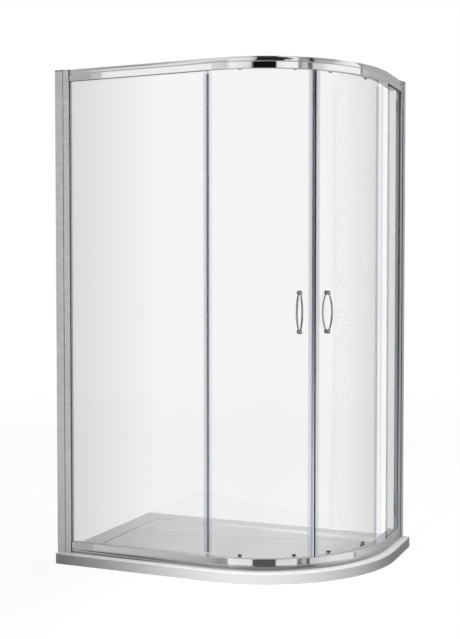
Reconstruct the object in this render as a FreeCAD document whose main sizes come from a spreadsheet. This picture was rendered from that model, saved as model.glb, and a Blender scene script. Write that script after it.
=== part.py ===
import FreeCAD, Part
import math
import os
import re
import Sketcher

# Quadrant shower enclosure: two fixed panes, two curved sliding doors, two bent rails and a low tray.
# Millimetres. Origin: middle of the tray's underside, +X along the long front, +Y to the back wall, +Z up.
# "inset" or n is always the distance inwards from the rails' outer face.

sizes = {
    # tray
    "trayLength": 1200, "trayDepth": 800, "trayHeight": 40, "trayCurve": 550, "trayRim": 85,
    "trayCorner": 12, "trayEdge": 5, "floorCorner": 40, "floorEdge": 5, "floorHeight": 29, "floorFall": 0.5,
    "leanX": 0.5, "leanY": 0.87,
    "wasteRadius": 45, "wasteRecess": 57.5, "wasteLedge": 20, "wasteReach": 380,
    # frame
    "enclosureHeight": 1850, "frontInset": 25, "sideInset": 32, "bendRadius": 525,
    "channelDepth": 33, "channelWall": 2, "slideGap": 0.3, "wallHole": 3, "wallHoleSpacing": 775,
    "uprightStart": 8, "uprightEnd": 58, "uprightDepth": 23, "uprightWall": 2, "slotFloor": 40,
    "capThickness": 3.5, "capLid": 1, "capPlug": 4, "plugGap": 1, "endThickness": 4, "endPlug": 20,
    "screwSide": 18, "fixScrew": 2, "fixHead": 4, "fixHeadDepth": 2, "fixLength": 11, "fixOffset": 30,
    "coverWall": 1, "screwGap": 0.15,
    "jointScrew": 1.8, "jointHead": 3.6, "jointHeadDepth": 2.5, "jointLength": 38,
    # rail section
    "railHeight": 44, "railDepth": 44, "railWall": 2, "outerWall": 2.5, "slotWidth": 10, "slotDepth": 22,
    "bandHeight": 26, "bandStep": 2, "grooveDepth": 3, "grooveWidth": 1.6, "bandBevel": 0.8,
    "facetRise": 12, "facetDepth": 3,
    "trackCeiling": 36, "lipDrop": 4, "lipRise": 6,
    # fixed glass and its seals
    "leftShort": 8, "rightShort": 17, "glassThickness": 6, "gasketBase": 2, "gasketEnd": 14,
    "edgeGrip": 8, "edgeWall": 1.2, "edgeFin": 26, "railClear": 1.5, "coverDrop": 8, "coverGap": 0.2,
    # doors
    "doorInset": 52, "doorMargin": 6, "meetingAngle": 1.0, "farAngle": 49.4,
    "magnetGap": 0.2, "magnetWidth": 4.3, "magnetDepth": 12, "sealEnd": 21.5, "sealWall": 1.4,
    "sealGap": 0.2, "tailGrip": 10, "tailFin": 18, "tailWall": 1.2,
    # handles
    "handleAngle": 6.95, "handleHeight": 935, "handleSpacing": 143, "handleRise": 22, "strapWidth": 8,
    "strapThickness": 5, "strapEase": 1, "footRadius": 8.2, "footDepth": 9, "footEdge": 1.2,
    "washerThickness": 1, "studRadius": 4, "studGrip": 6, "studGap": 0.1, "handleHole": 6, "glassSeat": 0.1,
    # rollers
    "nearRoller": 8.9, "farRoller": 34, "trackLine": 28.25, "wheelRadius": 11.7, "wheelWidth": 7,
    "wheelBevel": 0.8, "trackGap": 0.3, "axleRadius": 3, "axleGap": 0.05, "wheelPlay": 0.15,
    "axleHead": 5, "axleHeadDepth": 2, "shoulder": 4.5, "shoulderDepth": 4,
    "flangeRadius": 11, "flangeDepth": 2, "stemRadius": 6.5, "stemGap": 0.5, "capRadius": 13, "capDepth": 8,
    "capBevel": 2, "capScrew": 3,
    # push-button rollers at the bottom
    "housingWidth": 21, "housingDepth": 14, "housingTop": 72, "housingFoot": 44, "housingWall": 2,
    "housingLid": 3, "housingEdge": 2, "seatGap": 0.3, "armHalf": 3.4, "collarWall": 1.4, "collarGap": 0.3,
    "pushTravel": 6, "clampWidth": 19, "clampDepth": 1.8, "clampEdge": 4, "blockHeight": 9, "blockGap": 0.3,
    "pushStem": 3, "buttonFoot": 78.2, "buttonTop": 83, "buttonWidth": 14, "buttonDepth": 11, "buttonEdge": 2,
    "springRadius": 4, "springWire": 0.8,
    # stops in the top track
    "stopLength": 12, "stopDepth": 22, "stopHeight": 20, "closedStop": 6.8, "openRoom": 109,
    # how far a cutting tool passes the face it enters or leaves by
    "overcut": 1,
}

doc = FreeCAD.newDocument("quadrant_enclosure")
sheet = doc.addObject("Spreadsheet::Sheet", "Sizes")
for row, (alias, value) in enumerate(sizes.items(), start=1):
    sheet.set(f"A{row}", alias)
    sheet.set(f"B{row}", str(value))
    sheet.setAlias(f"B{row}", alias)
doc.recompute()

# Lengths that several pieces share, as formulas of the sheet's values.
faceY = "(frontInset - trayDepth / 2)"
faceX = "(trayLength / 2 - sideInset)"
bendX = f"({faceX} - bendRadius)"
bendY = f"({faceY} + bendRadius)"
top = "(trayHeight + enclosureHeight)"
trackOuter = "(outerWall + slotWidth + railWall)"
glassNear = "(outerWall + (slotWidth - glassThickness) / 2)"
glassFar = f"({glassNear} + glassThickness)"
railEnd = "(uprightEnd + endThickness)"
tangents = {"left": f"(trayLength / 2 + {bendX})", "right": f"(trayDepth / 2 - {bendY})"}
panels = {"left": f"({tangents['left']} - leftShort)", "right": f"({tangents['right']} - rightShort)"}
doorOuter = "(bendRadius - doorInset)"
doorInner = f"({doorOuter} - glassThickness)"
doorFoot = "(trayHeight + doorMargin)"
doorTop = f"({top} - doorMargin)"
wheelDrop = "(railHeight - trackCeiling + trackGap + wheelRadius)"
lowWheel = f"(trayHeight + railHeight - {wheelDrop})"
highWheel = f"({top} - railHeight + {wheelDrop})"
wheelFar = "(bendRadius - trackLine - wheelWidth / 2)"
wheelNear = f"({wheelFar} + wheelWidth)"
screwInset = "((bandStep + slotWidth) / 2 + outerWall)"
screwRise = "((facetRise + railHeight - slotDepth - railWall) / 2)"

origin = FreeCAD.Vector(0, 0, 0)
vertical = FreeCAD.Vector(0, 0, 1)
nodes = {}

# Distances within which an edge counts as lying on a plane: a flat one, and one cut by the leaning floor.
on_plane, on_lean = 0.05, 1


def cell(text):
    """Point every plain word of a formula at the sheet, leaving function names alone."""
    return re.sub(r"\b([a-z][A-Za-z]+)\b(?!\s*\()", r"Sizes.\1", text)


def bind(item, prop, text):
    item.setExpression(prop, cell(text))


def measure(text):
    """The present value of a formula."""
    sheet.set("D1", f"={text}")
    sheet.recomputeCells("D1")
    value = sheet.get("D1")
    sheet.clear("D1")
    return float(value)


def spot(x, y):
    return FreeCAD.Vector(measure(x), measure(y), 0)


def place(item, x="0", y="0", z="0", turn="0"):
    item.setExpression(
        "Placement",
        f"create(<<placement>>; create(<<vector>>; {cell(x)}; {cell(y)}; {cell(z)}); "
        f"create(<<rotation>>; create(<<vector>>; 0; 0; 1); {cell(turn)}))",
    )
    return item


def keep(name, item):
    """Make an object one of the pieces that are written out."""
    item.Label = name
    nodes[name] = item
    return item


# ---- primitives and booleans -------------------------------------------------------------------

def box(name, corner, extent):
    solid = doc.addObject("Part::Box", name)
    for prop, text in zip(("Length", "Width", "Height"), extent):
        bind(solid, prop, text)
    return place(solid, *corner)


def rod(name, start, radius, length, along="z"):
    """A cylinder from start, along x, y or z."""
    solid = doc.addObject("Part::Cylinder", name)
    bind(solid, "Radius", radius)
    bind(solid, "Height", length)
    turns = {"x": (FreeCAD.Vector(0, 1, 0), 90), "y": (FreeCAD.Vector(1, 0, 0), -90), "z": (vertical, 0)}
    solid.Placement = FreeCAD.Placement(origin, FreeCAD.Rotation(*turns[along]))
    for axis, text in zip("xyz", start):
        bind(solid, f"Placement.Base.{axis}", text)
    return solid


def cut(name, base, *tools):
    result = doc.addObject("Part::Cut", name)
    result.Base = base
    result.Tool = tools[0] if len(tools) == 1 else fuse(f"{name}_tools", *tools)
    return result


def fuse(name, *parts):
    result = doc.addObject("Part::MultiFuse", name)
    result.Shapes = list(parts)
    return result


def group(name, parts):
    result = doc.addObject("Part::Compound", name)
    result.Links = list(parts)
    return result


def turned(name, part, angle):
    """The same solid, turned about the Z axis through the origin."""
    return place(group(name, [part]), turn=angle)


def sector(name, outer, inner, start, span, foot, height):
    """A wall bent about the Z axis, from the angle start over the angle span."""
    solid = doc.addObject("Part::Cylinder", f"{name}_wedge")
    bind(solid, "Radius", outer)
    bind(solid, "Height", height)
    bind(solid, "Angle", span)
    place(solid, z=foot, turn=start)
    bore = doc.addObject("Part::Cylinder", f"{name}_bore")
    bind(bore, "Radius", inner)
    bind(bore, "Height", height)
    place(bore, z=foot)
    return cut(name, solid, bore)


# ---- bodies made from sketches -----------------------------------------------------------------

def add_body(name):
    return doc.addObject("PartDesign::Body", f"{name}_body")


def add_sketch(body, role, name, offset="0"):
    """A sketch on one of the body's own planes, lifted along the plane's normal."""
    plane = next(item for item in body.Origin.OriginFeatures if item.Role == role)
    drawing = body.newObject("Sketcher::SketchObject", name)
    drawing.AttachmentSupport = [(plane, "")]
    drawing.MapMode = "FlatFace"
    bind(drawing, "AttachmentOffset.Base.z", offset)
    return drawing


def pin(drawing, edge, end, x=None, y=None):
    """Hold a point of the sketch at x, y."""
    for kind, text in (("DistanceX", x), ("DistanceY", y)):
        if text is not None:
            index = drawing.addConstraint(Sketcher.Constraint(kind, edge, end, measure(text)))
            bind(drawing, f"Constraints[{index}]", text)


def outline(drawing, corners):
    """A closed outline of straight lines through the corners."""
    spots = [spot(x, y) for x, y in corners]
    edges = [drawing.addGeometry(Part.LineSegment(a, b), False) for a, b in zip(spots, spots[1:] + spots[:1])]
    for k, (x, y) in enumerate(corners):
        drawing.addConstraint(Sketcher.Constraint("Coincident", edges[k - 1], 2, edges[k], 1))
        pin(drawing, edges[k], 1, x, y)


def circle(drawing, x, y, radius):
    ring = drawing.addGeometry(Part.Circle(spot(x, y), vertical, measure(radius)), False)
    pin(drawing, ring, 3, x, y)
    index = drawing.addConstraint(Sketcher.Constraint("Radius", ring, measure(radius)))
    bind(drawing, f"Constraints[{index}]", radius)


def pad(body, drawing, length, backwards=False):
    feature = body.newObject("PartDesign::Pad", f"{drawing.Name}_pad")
    feature.Profile = drawing
    bind(feature, "Length", length)
    feature.Reversed = backwards
    return feature


def pocket(body, drawing, length, backwards=False):
    """Cut from the sketch, against its normal unless backwards; the cut has to take something away."""
    body.recompute(True)
    before = body.Shape.Volume
    feature = body.newObject("PartDesign::Pocket", f"{drawing.Name}_pocket")
    feature.Profile = drawing
    bind(feature, "Length", length)
    feature.Reversed = backwards
    body.recompute(True)
    if body.Shape.Volume >= before:
        raise ValueError(f"{feature.Name} removes nothing")
    return feature


def fillet(body, base, edges, radius):
    feature = body.newObject("PartDesign::Fillet", f"{base.Name}_fillet")
    feature.Base = (base, edges)
    bind(feature, "Radius", radius)
    body.recompute(True)
    return feature


def edges_where(shape, test):
    """Names of the edges whose two ends and middle all pass the test."""
    names = []
    for index, edge in enumerate(shape.Edges, start=1):
        middle = edge.valueAt((edge.FirstParameter + edge.LastParameter) / 2)
        spots = [vertex.Point for vertex in edge.Vertexes] + [middle]
        if all(test(spot) for spot in spots):
            names.append(f"Edge{index}")
    return names


def lathe(name, height, profile):
    """A body turned about the line along X at this height; profile lists x and radius."""
    body = add_body(name)
    drawing = add_sketch(body, "XZ_Plane", f"{name}_profile")
    axis = drawing.addGeometry(Part.LineSegment(spot("0", height), spot("bendRadius", height)), True)
    pin(drawing, axis, 1, "0", height)
    pin(drawing, axis, 2, "bendRadius", height)
    outline(drawing, [(x, f"{height} + ({radius})") for x, radius in profile])
    feature = body.newObject("PartDesign::Revolution", f"{name}_turn")
    feature.Profile = drawing
    feature.ReferenceAxis = (drawing, ["Axis0"])
    feature.Angle = 360
    return body


# ---- the two frames that pieces are built in ---------------------------------------------------

walls = {"left": 1, "right": -1}


def on_wall(side, item):
    """Local x runs away from the wall, local y is the inset (times -1 on the right)."""
    if side == "left":
        return place(item, "-trayLength / 2", faceY)
    return place(item, faceX, "trayDepth / 2", turn="-90")


def inset(side, near, width="0"):
    """Lower local y of something that is width deep, from the inset near."""
    return f"({near})" if side == "left" else f"(-({near}) - ({width}))"


def on_bend(side, item, angle="0"):
    """Local x is the distance from the bend's axis; angle is counted from where the doors meet."""
    sign = -1 if side == "left" else 1
    return place(item, bendX, bendY, turn=f"-45 + {sign} * ({angle})")


def beyond(side, start, width):
    """Lower local y of something that starts at start, away from the doors' meeting line."""
    return f"({start})" if side == "right" else f"(-({start}) - ({width}))"


def wall_box(side, name, along, near, foot, extent):
    return box(name, (along, inset(side, near, extent[1]), foot), extent)


# ---- tray --------------------------------------------------------------------------------------

def quarter_arc(start, finish):
    """The arc that leaves start along +X and arrives at finish along +Y."""
    radius = finish.x - start.x
    half = FreeCAD.Vector(math.sin(math.pi / 4), 1 - math.cos(math.pi / 4), 0)
    return Part.Arc(start, start + half * radius, finish)


def tray_outline(drawing, margin, curve):
    """Rectangle with one big rounded corner at the front right, drawn margin inside the tray's edge."""
    left, right = f"-trayLength / 2 + {margin}", f"trayLength / 2 - {margin}"
    front, back = f"-trayDepth / 2 + {margin}", f"trayDepth / 2 - {margin}"
    bend_x, bend_y = f"trayLength / 2 - {margin} - ({curve})", f"-trayDepth / 2 + {margin} + {curve}"
    corners = [spot(right, bend_y), spot(right, back), spot(left, back), spot(left, front),
               spot(bend_x, front)]
    lines = [drawing.addGeometry(Part.LineSegment(a, b), False) for a, b in zip(corners, corners[1:])]
    arc = drawing.addGeometry(quarter_arc(corners[-1], corners[0]), False)
    chain = lines + [arc]
    for before, after in zip(chain, chain[1:] + chain[:1]):
        drawing.addConstraint(Sketcher.Constraint("Coincident", before, 2, after, 1))
    pin(drawing, lines[0], 1, right, bend_y)
    pin(drawing, lines[1], 1, right, back)
    pin(drawing, lines[2], 1, left, back)
    pin(drawing, lines[3], 1, left, front)
    pin(drawing, arc, 1, bend_x, front)
    pin(drawing, arc, 3, None, bend_y)


def shower_tray():
    body = add_body("shower_tray")
    plan = add_sketch(body, "XY_Plane", "tray_plan")
    tray_outline(plan, "0", "trayCurve")
    block = pad(body, plan, "trayHeight")
    body.recompute(True)
    height = measure("trayHeight")
    half_depth, half_length = measure("trayDepth / 2"), measure("trayLength / 2")
    uprights = edges_where(body.Shape, lambda at: abs(abs(at.y) - half_depth) < on_plane and
                           abs(abs(at.x) - half_length) < on_plane)
    rounded = fillet(body, block, uprights, "trayCorner")
    edge = fillet(body, rounded, edges_where(body.Shape, lambda at: abs(at.z - height) < on_plane), "trayEdge")
    well = add_sketch(body, "XY_Plane", "tray_floor", "floorHeight")
    tray_outline(well, "trayRim", "(trayCurve - trayRim)")
    # the floor leans towards the waste
    lean = FreeCAD.Rotation(spot("leanX", "leanY"), measure("floorFall"))
    well.AttachmentOffset = FreeCAD.Placement(origin, lean)
    bind(well, "AttachmentOffset.Base.z", "floorHeight")
    hollow = pocket(body, well, "trayHeight", backwards=True)
    inner, across = measure("trayDepth / 2 - trayRim"), measure("trayLength / 2 - trayRim")
    corners = edges_where(body.Shape, lambda at: abs(abs(at.y) - inner) < on_lean and
                          abs(abs(at.x) - across) < on_lean)
    soft = fillet(body, hollow, corners, "floorCorner")
    brim = edges_where(body.Shape, lambda at: abs(at.z - height) < on_plane and
                       abs(at.y) < inner + on_lean and abs(at.x) < across + on_lean)
    fillet(body, soft, brim, "floorEdge")
    reach = "wasteReach / sqrt(2)"
    waste = (f"trayLength / 2 - trayCurve + {reach}", f"-trayDepth / 2 + trayCurve - {reach}")
    recess = add_sketch(body, "XY_Plane", "waste_recess", "wasteLedge")
    circle(recess, *waste, "wasteRecess")
    pocket(body, recess, "trayHeight", backwards=True)
    hole = add_sketch(body, "XY_Plane", "waste_hole")
    circle(hole, *waste, "wasteRadius")
    pocket(body, hole, "trayHeight", backwards=True)
    keep("shower_tray", body)


# ---- wall channels and uprights ----------------------------------------------------------------

def channel_holes():
    """Heights of the holes through the wall channel, evenly about its middle."""
    middle = f"(trayHeight + {top}) / 2"
    return [f"{middle} - wallHoleSpacing", middle, f"{middle} + wallHoleSpacing"]


def wall_channel(side):
    sign = walls[side]
    outer, inner = "-(channelWall + slideGap)", "(uprightDepth + slideGap + channelWall)"
    body = add_body(f"wall_channel_{side}")
    plan = add_sketch(body, "XY_Plane", f"channel_section_{side}", "trayHeight")
    corners = [("0", outer), ("channelDepth", outer), ("channelDepth", "-slideGap"),
               ("channelWall", "-slideGap"), ("channelWall", "uprightDepth + slideGap"),
               ("channelDepth", "uprightDepth + slideGap"), ("channelDepth", inner), ("0", inner)]
    outline(plan, [(x, f"{sign} * ({y})") for x, y in corners])
    pad(body, plan, "enclosureHeight - capThickness")
    drills = []
    flange = "channelWall + slideGap + overcut"
    for number, height in enumerate(channel_holes()):
        middle = inset(side, "uprightDepth / 2")
        drills.append(rod(f"wall_hole_{side}_{number}", ("-overcut", middle, height), "wallHole",
                          "channelWall + 2 * overcut", "x"))
        drills.append(rod(f"fix_hole_{side}_{number}",
                          ("screwSide", inset(side, "uprightDepth", flange), f"{height} + fixOffset"),
                          "fixScrew + screwGap", flange, "y"))
    keep(f"wall_channel_{side}", on_wall(side, cut(f"wall_channel_{side}", body, *drills)))


def upright_profile(side):
    sign = walls[side]
    slot_near, slot_far = "outerWall", "(outerWall + slotWidth)"
    body = add_body(f"upright_{side}")
    plan = add_sketch(body, "XY_Plane", f"upright_section_{side}", "trayHeight")
    loops = [
        [("uprightStart", "0"), ("uprightEnd", "0"), ("uprightEnd", slot_near), ("slotFloor", slot_near),
         ("slotFloor", slot_far), ("uprightEnd", slot_far), ("uprightEnd", "uprightDepth"),
         ("uprightStart", "uprightDepth")],
        [("uprightStart + uprightWall", "uprightWall"), ("slotFloor - uprightWall", "uprightWall"),
         ("slotFloor - uprightWall", "uprightDepth - uprightWall"),
         ("uprightStart + uprightWall", "uprightDepth - uprightWall")],
        [("slotFloor", f"{slot_far} + uprightWall"), ("uprightEnd - uprightWall", f"{slot_far} + uprightWall"),
         ("uprightEnd - uprightWall", "uprightDepth - uprightWall"),
         ("slotFloor", "uprightDepth - uprightWall")],
    ]
    for loop in loops:
        outline(plan, [(x, f"{sign} * ({y})") for x, y in loop])
    pad(body, plan, "enclosureHeight - capLid")
    drills = []
    through = "uprightWall + 2 * overcut"
    for number, height in enumerate(channel_holes()):
        face = inset(side, "uprightDepth - uprightWall - overcut", through)
        drills.append(rod(f"upright_fix_{side}_{number}", ("screwSide", face, f"{height} + fixOffset"),
                          "fixScrew + screwGap", through, "y"))
    for number, height in enumerate((f"trayHeight + {screwRise}", f"{top} - {screwRise}")):
        middle = inset(side, screwInset)
        drills.append(rod(f"joint_way_{side}_{number}", ("uprightStart - overcut", middle, height),
                          "jointHead + plugGap", through, "x"))
        drills.append(rod(f"joint_hole_{side}_{number}", ("slotFloor - uprightWall - overcut", middle, height),
                          "jointScrew + screwGap", through, "x"))
    keep(f"upright_{side}", on_wall(side, cut(f"upright_{side}", body, *drills)))


def upright_caps():
    """Caps with a thick rim over the channel, a thin lid over the upright and a plug inside it."""
    caps = []
    for side in walls:
        plate = wall_box(side, f"cap_plate_{side}", "0", "-(slideGap + channelWall)", f"{top} - capThickness",
                         ("channelDepth", "(uprightDepth + 2 * (slideGap + channelWall))", "capThickness"))
        room = wall_box(side, f"cap_room_{side}", "uprightStart - slideGap", "-slideGap",
                        f"{top} - capThickness - overcut",
                        ("uprightEnd", "(uprightDepth + 2 * slideGap)", "capThickness - capLid + overcut"))
        lid = wall_box(side, f"cap_lid_{side}", "uprightStart", "0", f"{top} - capLid",
                       ("uprightEnd - uprightStart", "uprightDepth", "capLid"))
        plug = wall_box(side, f"cap_plug_{side}", "uprightStart + uprightWall + plugGap",
                        "uprightWall + plugGap", f"{top} - capLid - capPlug",
                        ("slotFloor - uprightStart - 2 * uprightWall - 2 * plugGap",
                         "(uprightDepth - 2 * (uprightWall + plugGap))", "capPlug"))
        rim = cut(f"cap_rim_{side}", plate, room)
        caps.append(on_wall(side, fuse(f"cap_{side}", rim, lid, plug)))
    keep("upright_caps", group("upright_caps", caps))


def fixing_screws():
    """Screws through the channel's inner flange into the upright, and their snap-on covers."""
    screws, covers = [], []
    seat = "(uprightDepth + slideGap + channelWall)"
    for side in walls:
        for number, height in enumerate(channel_holes()):
            spot = f"{height} + fixOffset"
            head = rod(f"fix_head_{side}_{number}", ("screwSide", inset(side, seat, "fixHeadDepth"), spot),
                       "fixHead", "fixHeadDepth", "y")
            shank = rod(f"fix_shank_{side}_{number}",
                        ("screwSide", inset(side, f"{seat} - fixLength", "fixLength"), spot),
                        "fixScrew", "fixLength", "y")
            screws.append(on_wall(side, fuse(f"fix_screw_{side}_{number}", head, shank)))
            room = "(fixHeadDepth + screwGap)"
            shell = rod(f"cover_shell_{side}_{number}",
                        ("screwSide", inset(side, seat, f"{room} + coverWall"), spot),
                        "fixHead + screwGap + coverWall", f"{room} + coverWall", "y")
            hollow = rod(f"cover_room_{side}_{number}", ("screwSide", inset(side, seat, room), spot),
                         "fixHead + screwGap", room, "y")
            covers.append(on_wall(side, cut(f"cover_{side}_{number}", shell, hollow)))
    keep("channel_screws", group("channel_screws", screws))
    keep("screw_covers", group("screw_covers", covers))


# ---- rails -------------------------------------------------------------------------------------

levels = {"bottom": lambda rise: f"trayHeight + ({rise})", "top": lambda rise: f"{top} - ({rise})"}


def rail_section():
    """The extrusion's outline as inset and rise; the top rail is the same profile upside down."""
    band = "(railHeight - bandHeight)"
    slot_far = "(outerWall + slotWidth)"
    lip = "(railDepth - railWall)"
    return [
        ("bandStep + facetDepth", "0"), ("railDepth", "0"), ("railDepth", "lipRise"), (lip, "lipRise"),
        (lip, "railWall"), (trackOuter, "railWall"), (trackOuter, "trackCeiling"), (lip, "trackCeiling"),
        (lip, "trackCeiling - lipDrop"), ("railDepth", "trackCeiling - lipDrop"),
        ("railDepth", "trackCeiling + railWall"), (trackOuter, "trackCeiling + railWall"),
        (trackOuter, "railHeight"), (slot_far, "railHeight"), (slot_far, "railHeight - slotDepth"),
        ("outerWall", "railHeight - slotDepth"), ("outerWall", "railHeight"), ("bandBevel", "railHeight"),
        ("0", "railHeight - bandBevel"), ("0", f"{band} + bandBevel"), ("bandBevel", band),
        ("grooveDepth", band), ("grooveDepth", f"{band} - grooveWidth"),
        ("bandStep", f"{band} - grooveWidth"), ("bandStep", "facetRise"),
    ]


def rail_chamber():
    near, far, ceiling = "bandStep + outerWall", "outerWall + slotWidth", "railHeight - slotDepth - railWall"
    return [(f"{near} + facetDepth", "railWall"), (far, "railWall"), (far, ceiling), (near, ceiling),
            (near, "facetRise")]


def follow_bend(name, loops, level, start, finish):
    """Sweep a section of inset and rise along the front, round the bend and along the side."""
    body = add_body(name)
    section = add_sketch(body, "YZ_Plane", f"{name}_section", start)
    for loop in loops:
        outline(section, [(f"{faceY} + {n}", levels[level](rise)) for n, rise in loop])
    path = add_sketch(body, "XY_Plane", f"{name}_path")
    spots = [spot(start, faceY), spot(bendX, faceY), spot(faceX, bendY), spot(faceX, finish)]
    front = path.addGeometry(Part.LineSegment(spots[0], spots[1]), False)
    bend = path.addGeometry(quarter_arc(spots[1], spots[2]), False)
    side = path.addGeometry(Part.LineSegment(spots[2], spots[3]), False)
    path.addConstraint(Sketcher.Constraint("Coincident", front, 2, bend, 1))
    path.addConstraint(Sketcher.Constraint("Coincident", bend, 2, side, 1))
    pin(path, front, 1, start, faceY)
    pin(path, bend, 1, bendX, faceY)
    pin(path, bend, 2, faceX, bendY)
    pin(path, bend, 3, None, bendY)
    pin(path, side, 2, faceX, finish)
    body.recompute(True)
    sweep = body.newObject("PartDesign::AdditivePipe", f"{name}_sweep")
    sweep.Profile = section
    sweep.Spine = (path, ["Edge1", "Edge2", "Edge3"])
    return body


def rail(level):
    body = follow_bend(f"{level}_rail", [rail_section(), rail_chamber()], level,
                       f"{railEnd} - trayLength / 2", f"trayDepth / 2 - {railEnd}")
    keep(f"{level}_rail", body)


def slot_covers():
    """Strips that close the glass slot of both rails between the two fixed panes."""
    near, far = "outerWall + coverGap", "outerWall + slotWidth - coverGap"
    rises = ("railHeight - coverDrop", "railHeight - coverGap")
    section = [(near, rises[0]), (far, rises[0]), (far, rises[1]), (near, rises[1])]
    start = f"{panels['left']} + edgeWall + coverGap - trayLength / 2"
    finish = f"trayDepth / 2 - {panels['right']} - edgeWall - coverGap"
    strips = [follow_bend(f"{level}_slot_cover", [section], level, start, finish) for level in levels]
    keep("slot_covers", group("slot_covers", strips))


def rail_ends():
    """Plastic end pieces between rails and uprights, and the long screws that hold them."""
    pieces, screws = [], []
    for side, sign in walls.items():
        for level, rise_to_height in levels.items():
            tag = f"{side}_{level}"
            body = add_body(f"rail_end_{tag}")
            face = add_sketch(body, "YZ_Plane", f"rail_end_{tag}_face", "uprightEnd")
            outline(face, [(f"{sign} * ({n})", rise_to_height(rise)) for n, rise in rail_section()])
            pad(body, face, "endThickness")
            near, far = "(bandStep + outerWall + coverGap)", "(outerWall + slotWidth - coverGap)"
            low, high = "(facetRise + coverGap)", "(railHeight - slotDepth - railWall - coverGap)"
            corner = low if level == "bottom" else high
            plug = wall_box(side, f"plug_{tag}", "uprightEnd + endThickness / 2", near,
                            rise_to_height(corner), ("endPlug", f"{far} - {near}", f"{high} - {low}"))
            middle = inset(side, screwInset)
            height = rise_to_height(screwRise)
            pilot = rod(f"pilot_{tag}", ("uprightEnd - overcut", middle, height),
                        "jointScrew + screwGap", "endPlug + endThickness + overcut", "x")
            solid = fuse(f"rail_end_solid_{tag}", body, plug)
            pieces.append(on_wall(side, cut(f"rail_end_{tag}", solid, pilot)))
            head = rod(f"joint_head_{tag}", ("slotFloor - uprightWall - jointHeadDepth", middle, height),
                       "jointHead", "jointHeadDepth", "x")
            shank = rod(f"joint_shank_{tag}", ("slotFloor - uprightWall", middle, height),
                        "jointScrew", "jointLength", "x")
            screws.append(on_wall(side, fuse(f"joint_screw_{tag}", head, shank)))
    keep("rail_end_pieces", group("rail_end_pieces", pieces))
    keep("rail_screws", group("rail_screws", screws))


# ---- fixed glass -------------------------------------------------------------------------------

def fixed_pane(side):
    panel = panels[side]
    start = "slotFloor + gasketBase"
    foot = "trayHeight + railHeight - slotDepth + gasketBase"
    height = "enclosureHeight - 2 * (railHeight - slotDepth + gasketBase)"
    pane = wall_box(side, f"fixed_pane_{side}", start, glassNear, foot,
                    (f"{panel} - ({start})", "glassThickness", height))
    keep(f"fixed_glass_{side}", on_wall(side, group(f"fixed_glass_{side}", [pane])))


def glazing_gasket(side):
    """One U-shaped strip round the three edges of the fixed pane that sit in slots."""
    panel = panels[side]
    length = f"{panel} - gasketEnd - slotFloor"
    depth = "slotWidth"
    outer = wall_box(side, f"gasket_outer_{side}", "slotFloor", "outerWall",
                     "trayHeight + railHeight - slotDepth",
                     (length, depth, "enclosureHeight - 2 * (railHeight - slotDepth)"))
    window = wall_box(side, f"gasket_window_{side}", "uprightEnd", "outerWall - overcut",
                      "trayHeight + railHeight",
                      (length, f"{depth} + 2 * overcut", "enclosureHeight - 2 * railHeight"))
    slab = wall_box(side, f"gasket_slab_{side}", "slotFloor + gasketBase", glassNear,
                    "trayHeight + railHeight - slotDepth + gasketBase",
                    (length, "glassThickness", "enclosureHeight - 2 * (railHeight - slotDepth + gasketBase)"))
    strip = cut(f"glazing_gasket_{side}", outer, window, slab)
    keep(f"glazing_gasket_{side}", on_wall(side, strip))


def between_rails():
    """Foot and height of a strip that stands between the two rails."""
    return "trayHeight + railHeight + railClear", "enclosureHeight - 2 * (railHeight + railClear)"


def edge_seal(side):
    """Clear strip clipped over the free edge of a fixed pane, with a fin towards the door."""
    sign = walls[side]
    panel = panels[side]
    foot, height = between_rails()
    near, far = f"({glassNear} - edgeWall)", f"({glassFar} + edgeWall)"
    body = add_body(f"fixed_edge_seal_{side}")
    plan = add_sketch(body, "XY_Plane", f"edge_seal_section_{side}", foot)
    corners = [(f"{panel} - edgeGrip", near), (f"{panel} + edgeWall", near),
               (f"{panel} + edgeWall", f"{far} + edgeFin"), (panel, f"{far} + edgeFin"), (panel, far),
               (f"{panel} - edgeGrip", far), (f"{panel} - edgeGrip", glassFar), (panel, glassFar),
               (panel, glassNear), (f"{panel} - edgeGrip", glassNear)]
    outline(plan, [(x, f"{sign} * ({y})") for x, y in corners])
    pad(body, plan, height)
    keep(f"fixed_edge_seal_{side}", on_wall(side, body))


# ---- doors -------------------------------------------------------------------------------------

rollers = {"near": "nearRoller", "far": "farRoller"}


def slot_tool(name, half, start, length, foot="0"):
    """A tall rounded bar along X, round the arm's way: half its width, from the lower to the upper end."""
    low, high = f"{lowWheel} - pushTravel", lowWheel
    lower = rod(f"{name}_low", (start, "0", low), half, length, "x")
    upper = rod(f"{name}_high", (start, "0", high), half, length, "x")
    waist = box(f"{name}_waist", (start, f"-({half})", low), (length, f"2 * ({half})", "pushTravel"))
    return fuse(name, lower, upper, waist)


def door_glass(side):
    sign = -1 if side == "left" else 1
    span = "farAngle - meetingAngle"
    start = "-farAngle" if side == "left" else "meetingAngle"
    pane = sector(f"door_pane_{side}", doorOuter, doorInner, start, span, doorFoot, f"{doorTop} - {doorFoot}")
    cuts = []
    through = (f"{doorInner} - overcut", "glassThickness + 2 * overcut")
    for name, angle in rollers.items():
        hole = rod(f"top_hole_{side}_{name}", (through[0], "0", highWheel), "stemRadius + stemGap",
                   through[1], "x")
        slot = slot_tool(f"low_slot_{side}_{name}", "armHalf + collarWall + collarGap", *through)
        for part in (hole, slot):
            cuts.append(turned(f"{part.Name}_at", part, f"{sign} * {angle}"))
    for number, step in enumerate((-1, 1)):
        height = f"handleHeight + trayHeight + {step} * handleSpacing / 2"
        hole = rod(f"handle_hole_{side}_{number}", (through[0], "0", height), "handleHole", through[1], "x")
        cuts.append(turned(f"handle_hole_at_{side}_{number}", hole, f"{sign} * handleAngle"))
    pane = cut(f"door_glass_{side}", pane, *cuts)
    keep(f"door_glass_{side}", on_bend(side, pane))


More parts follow.
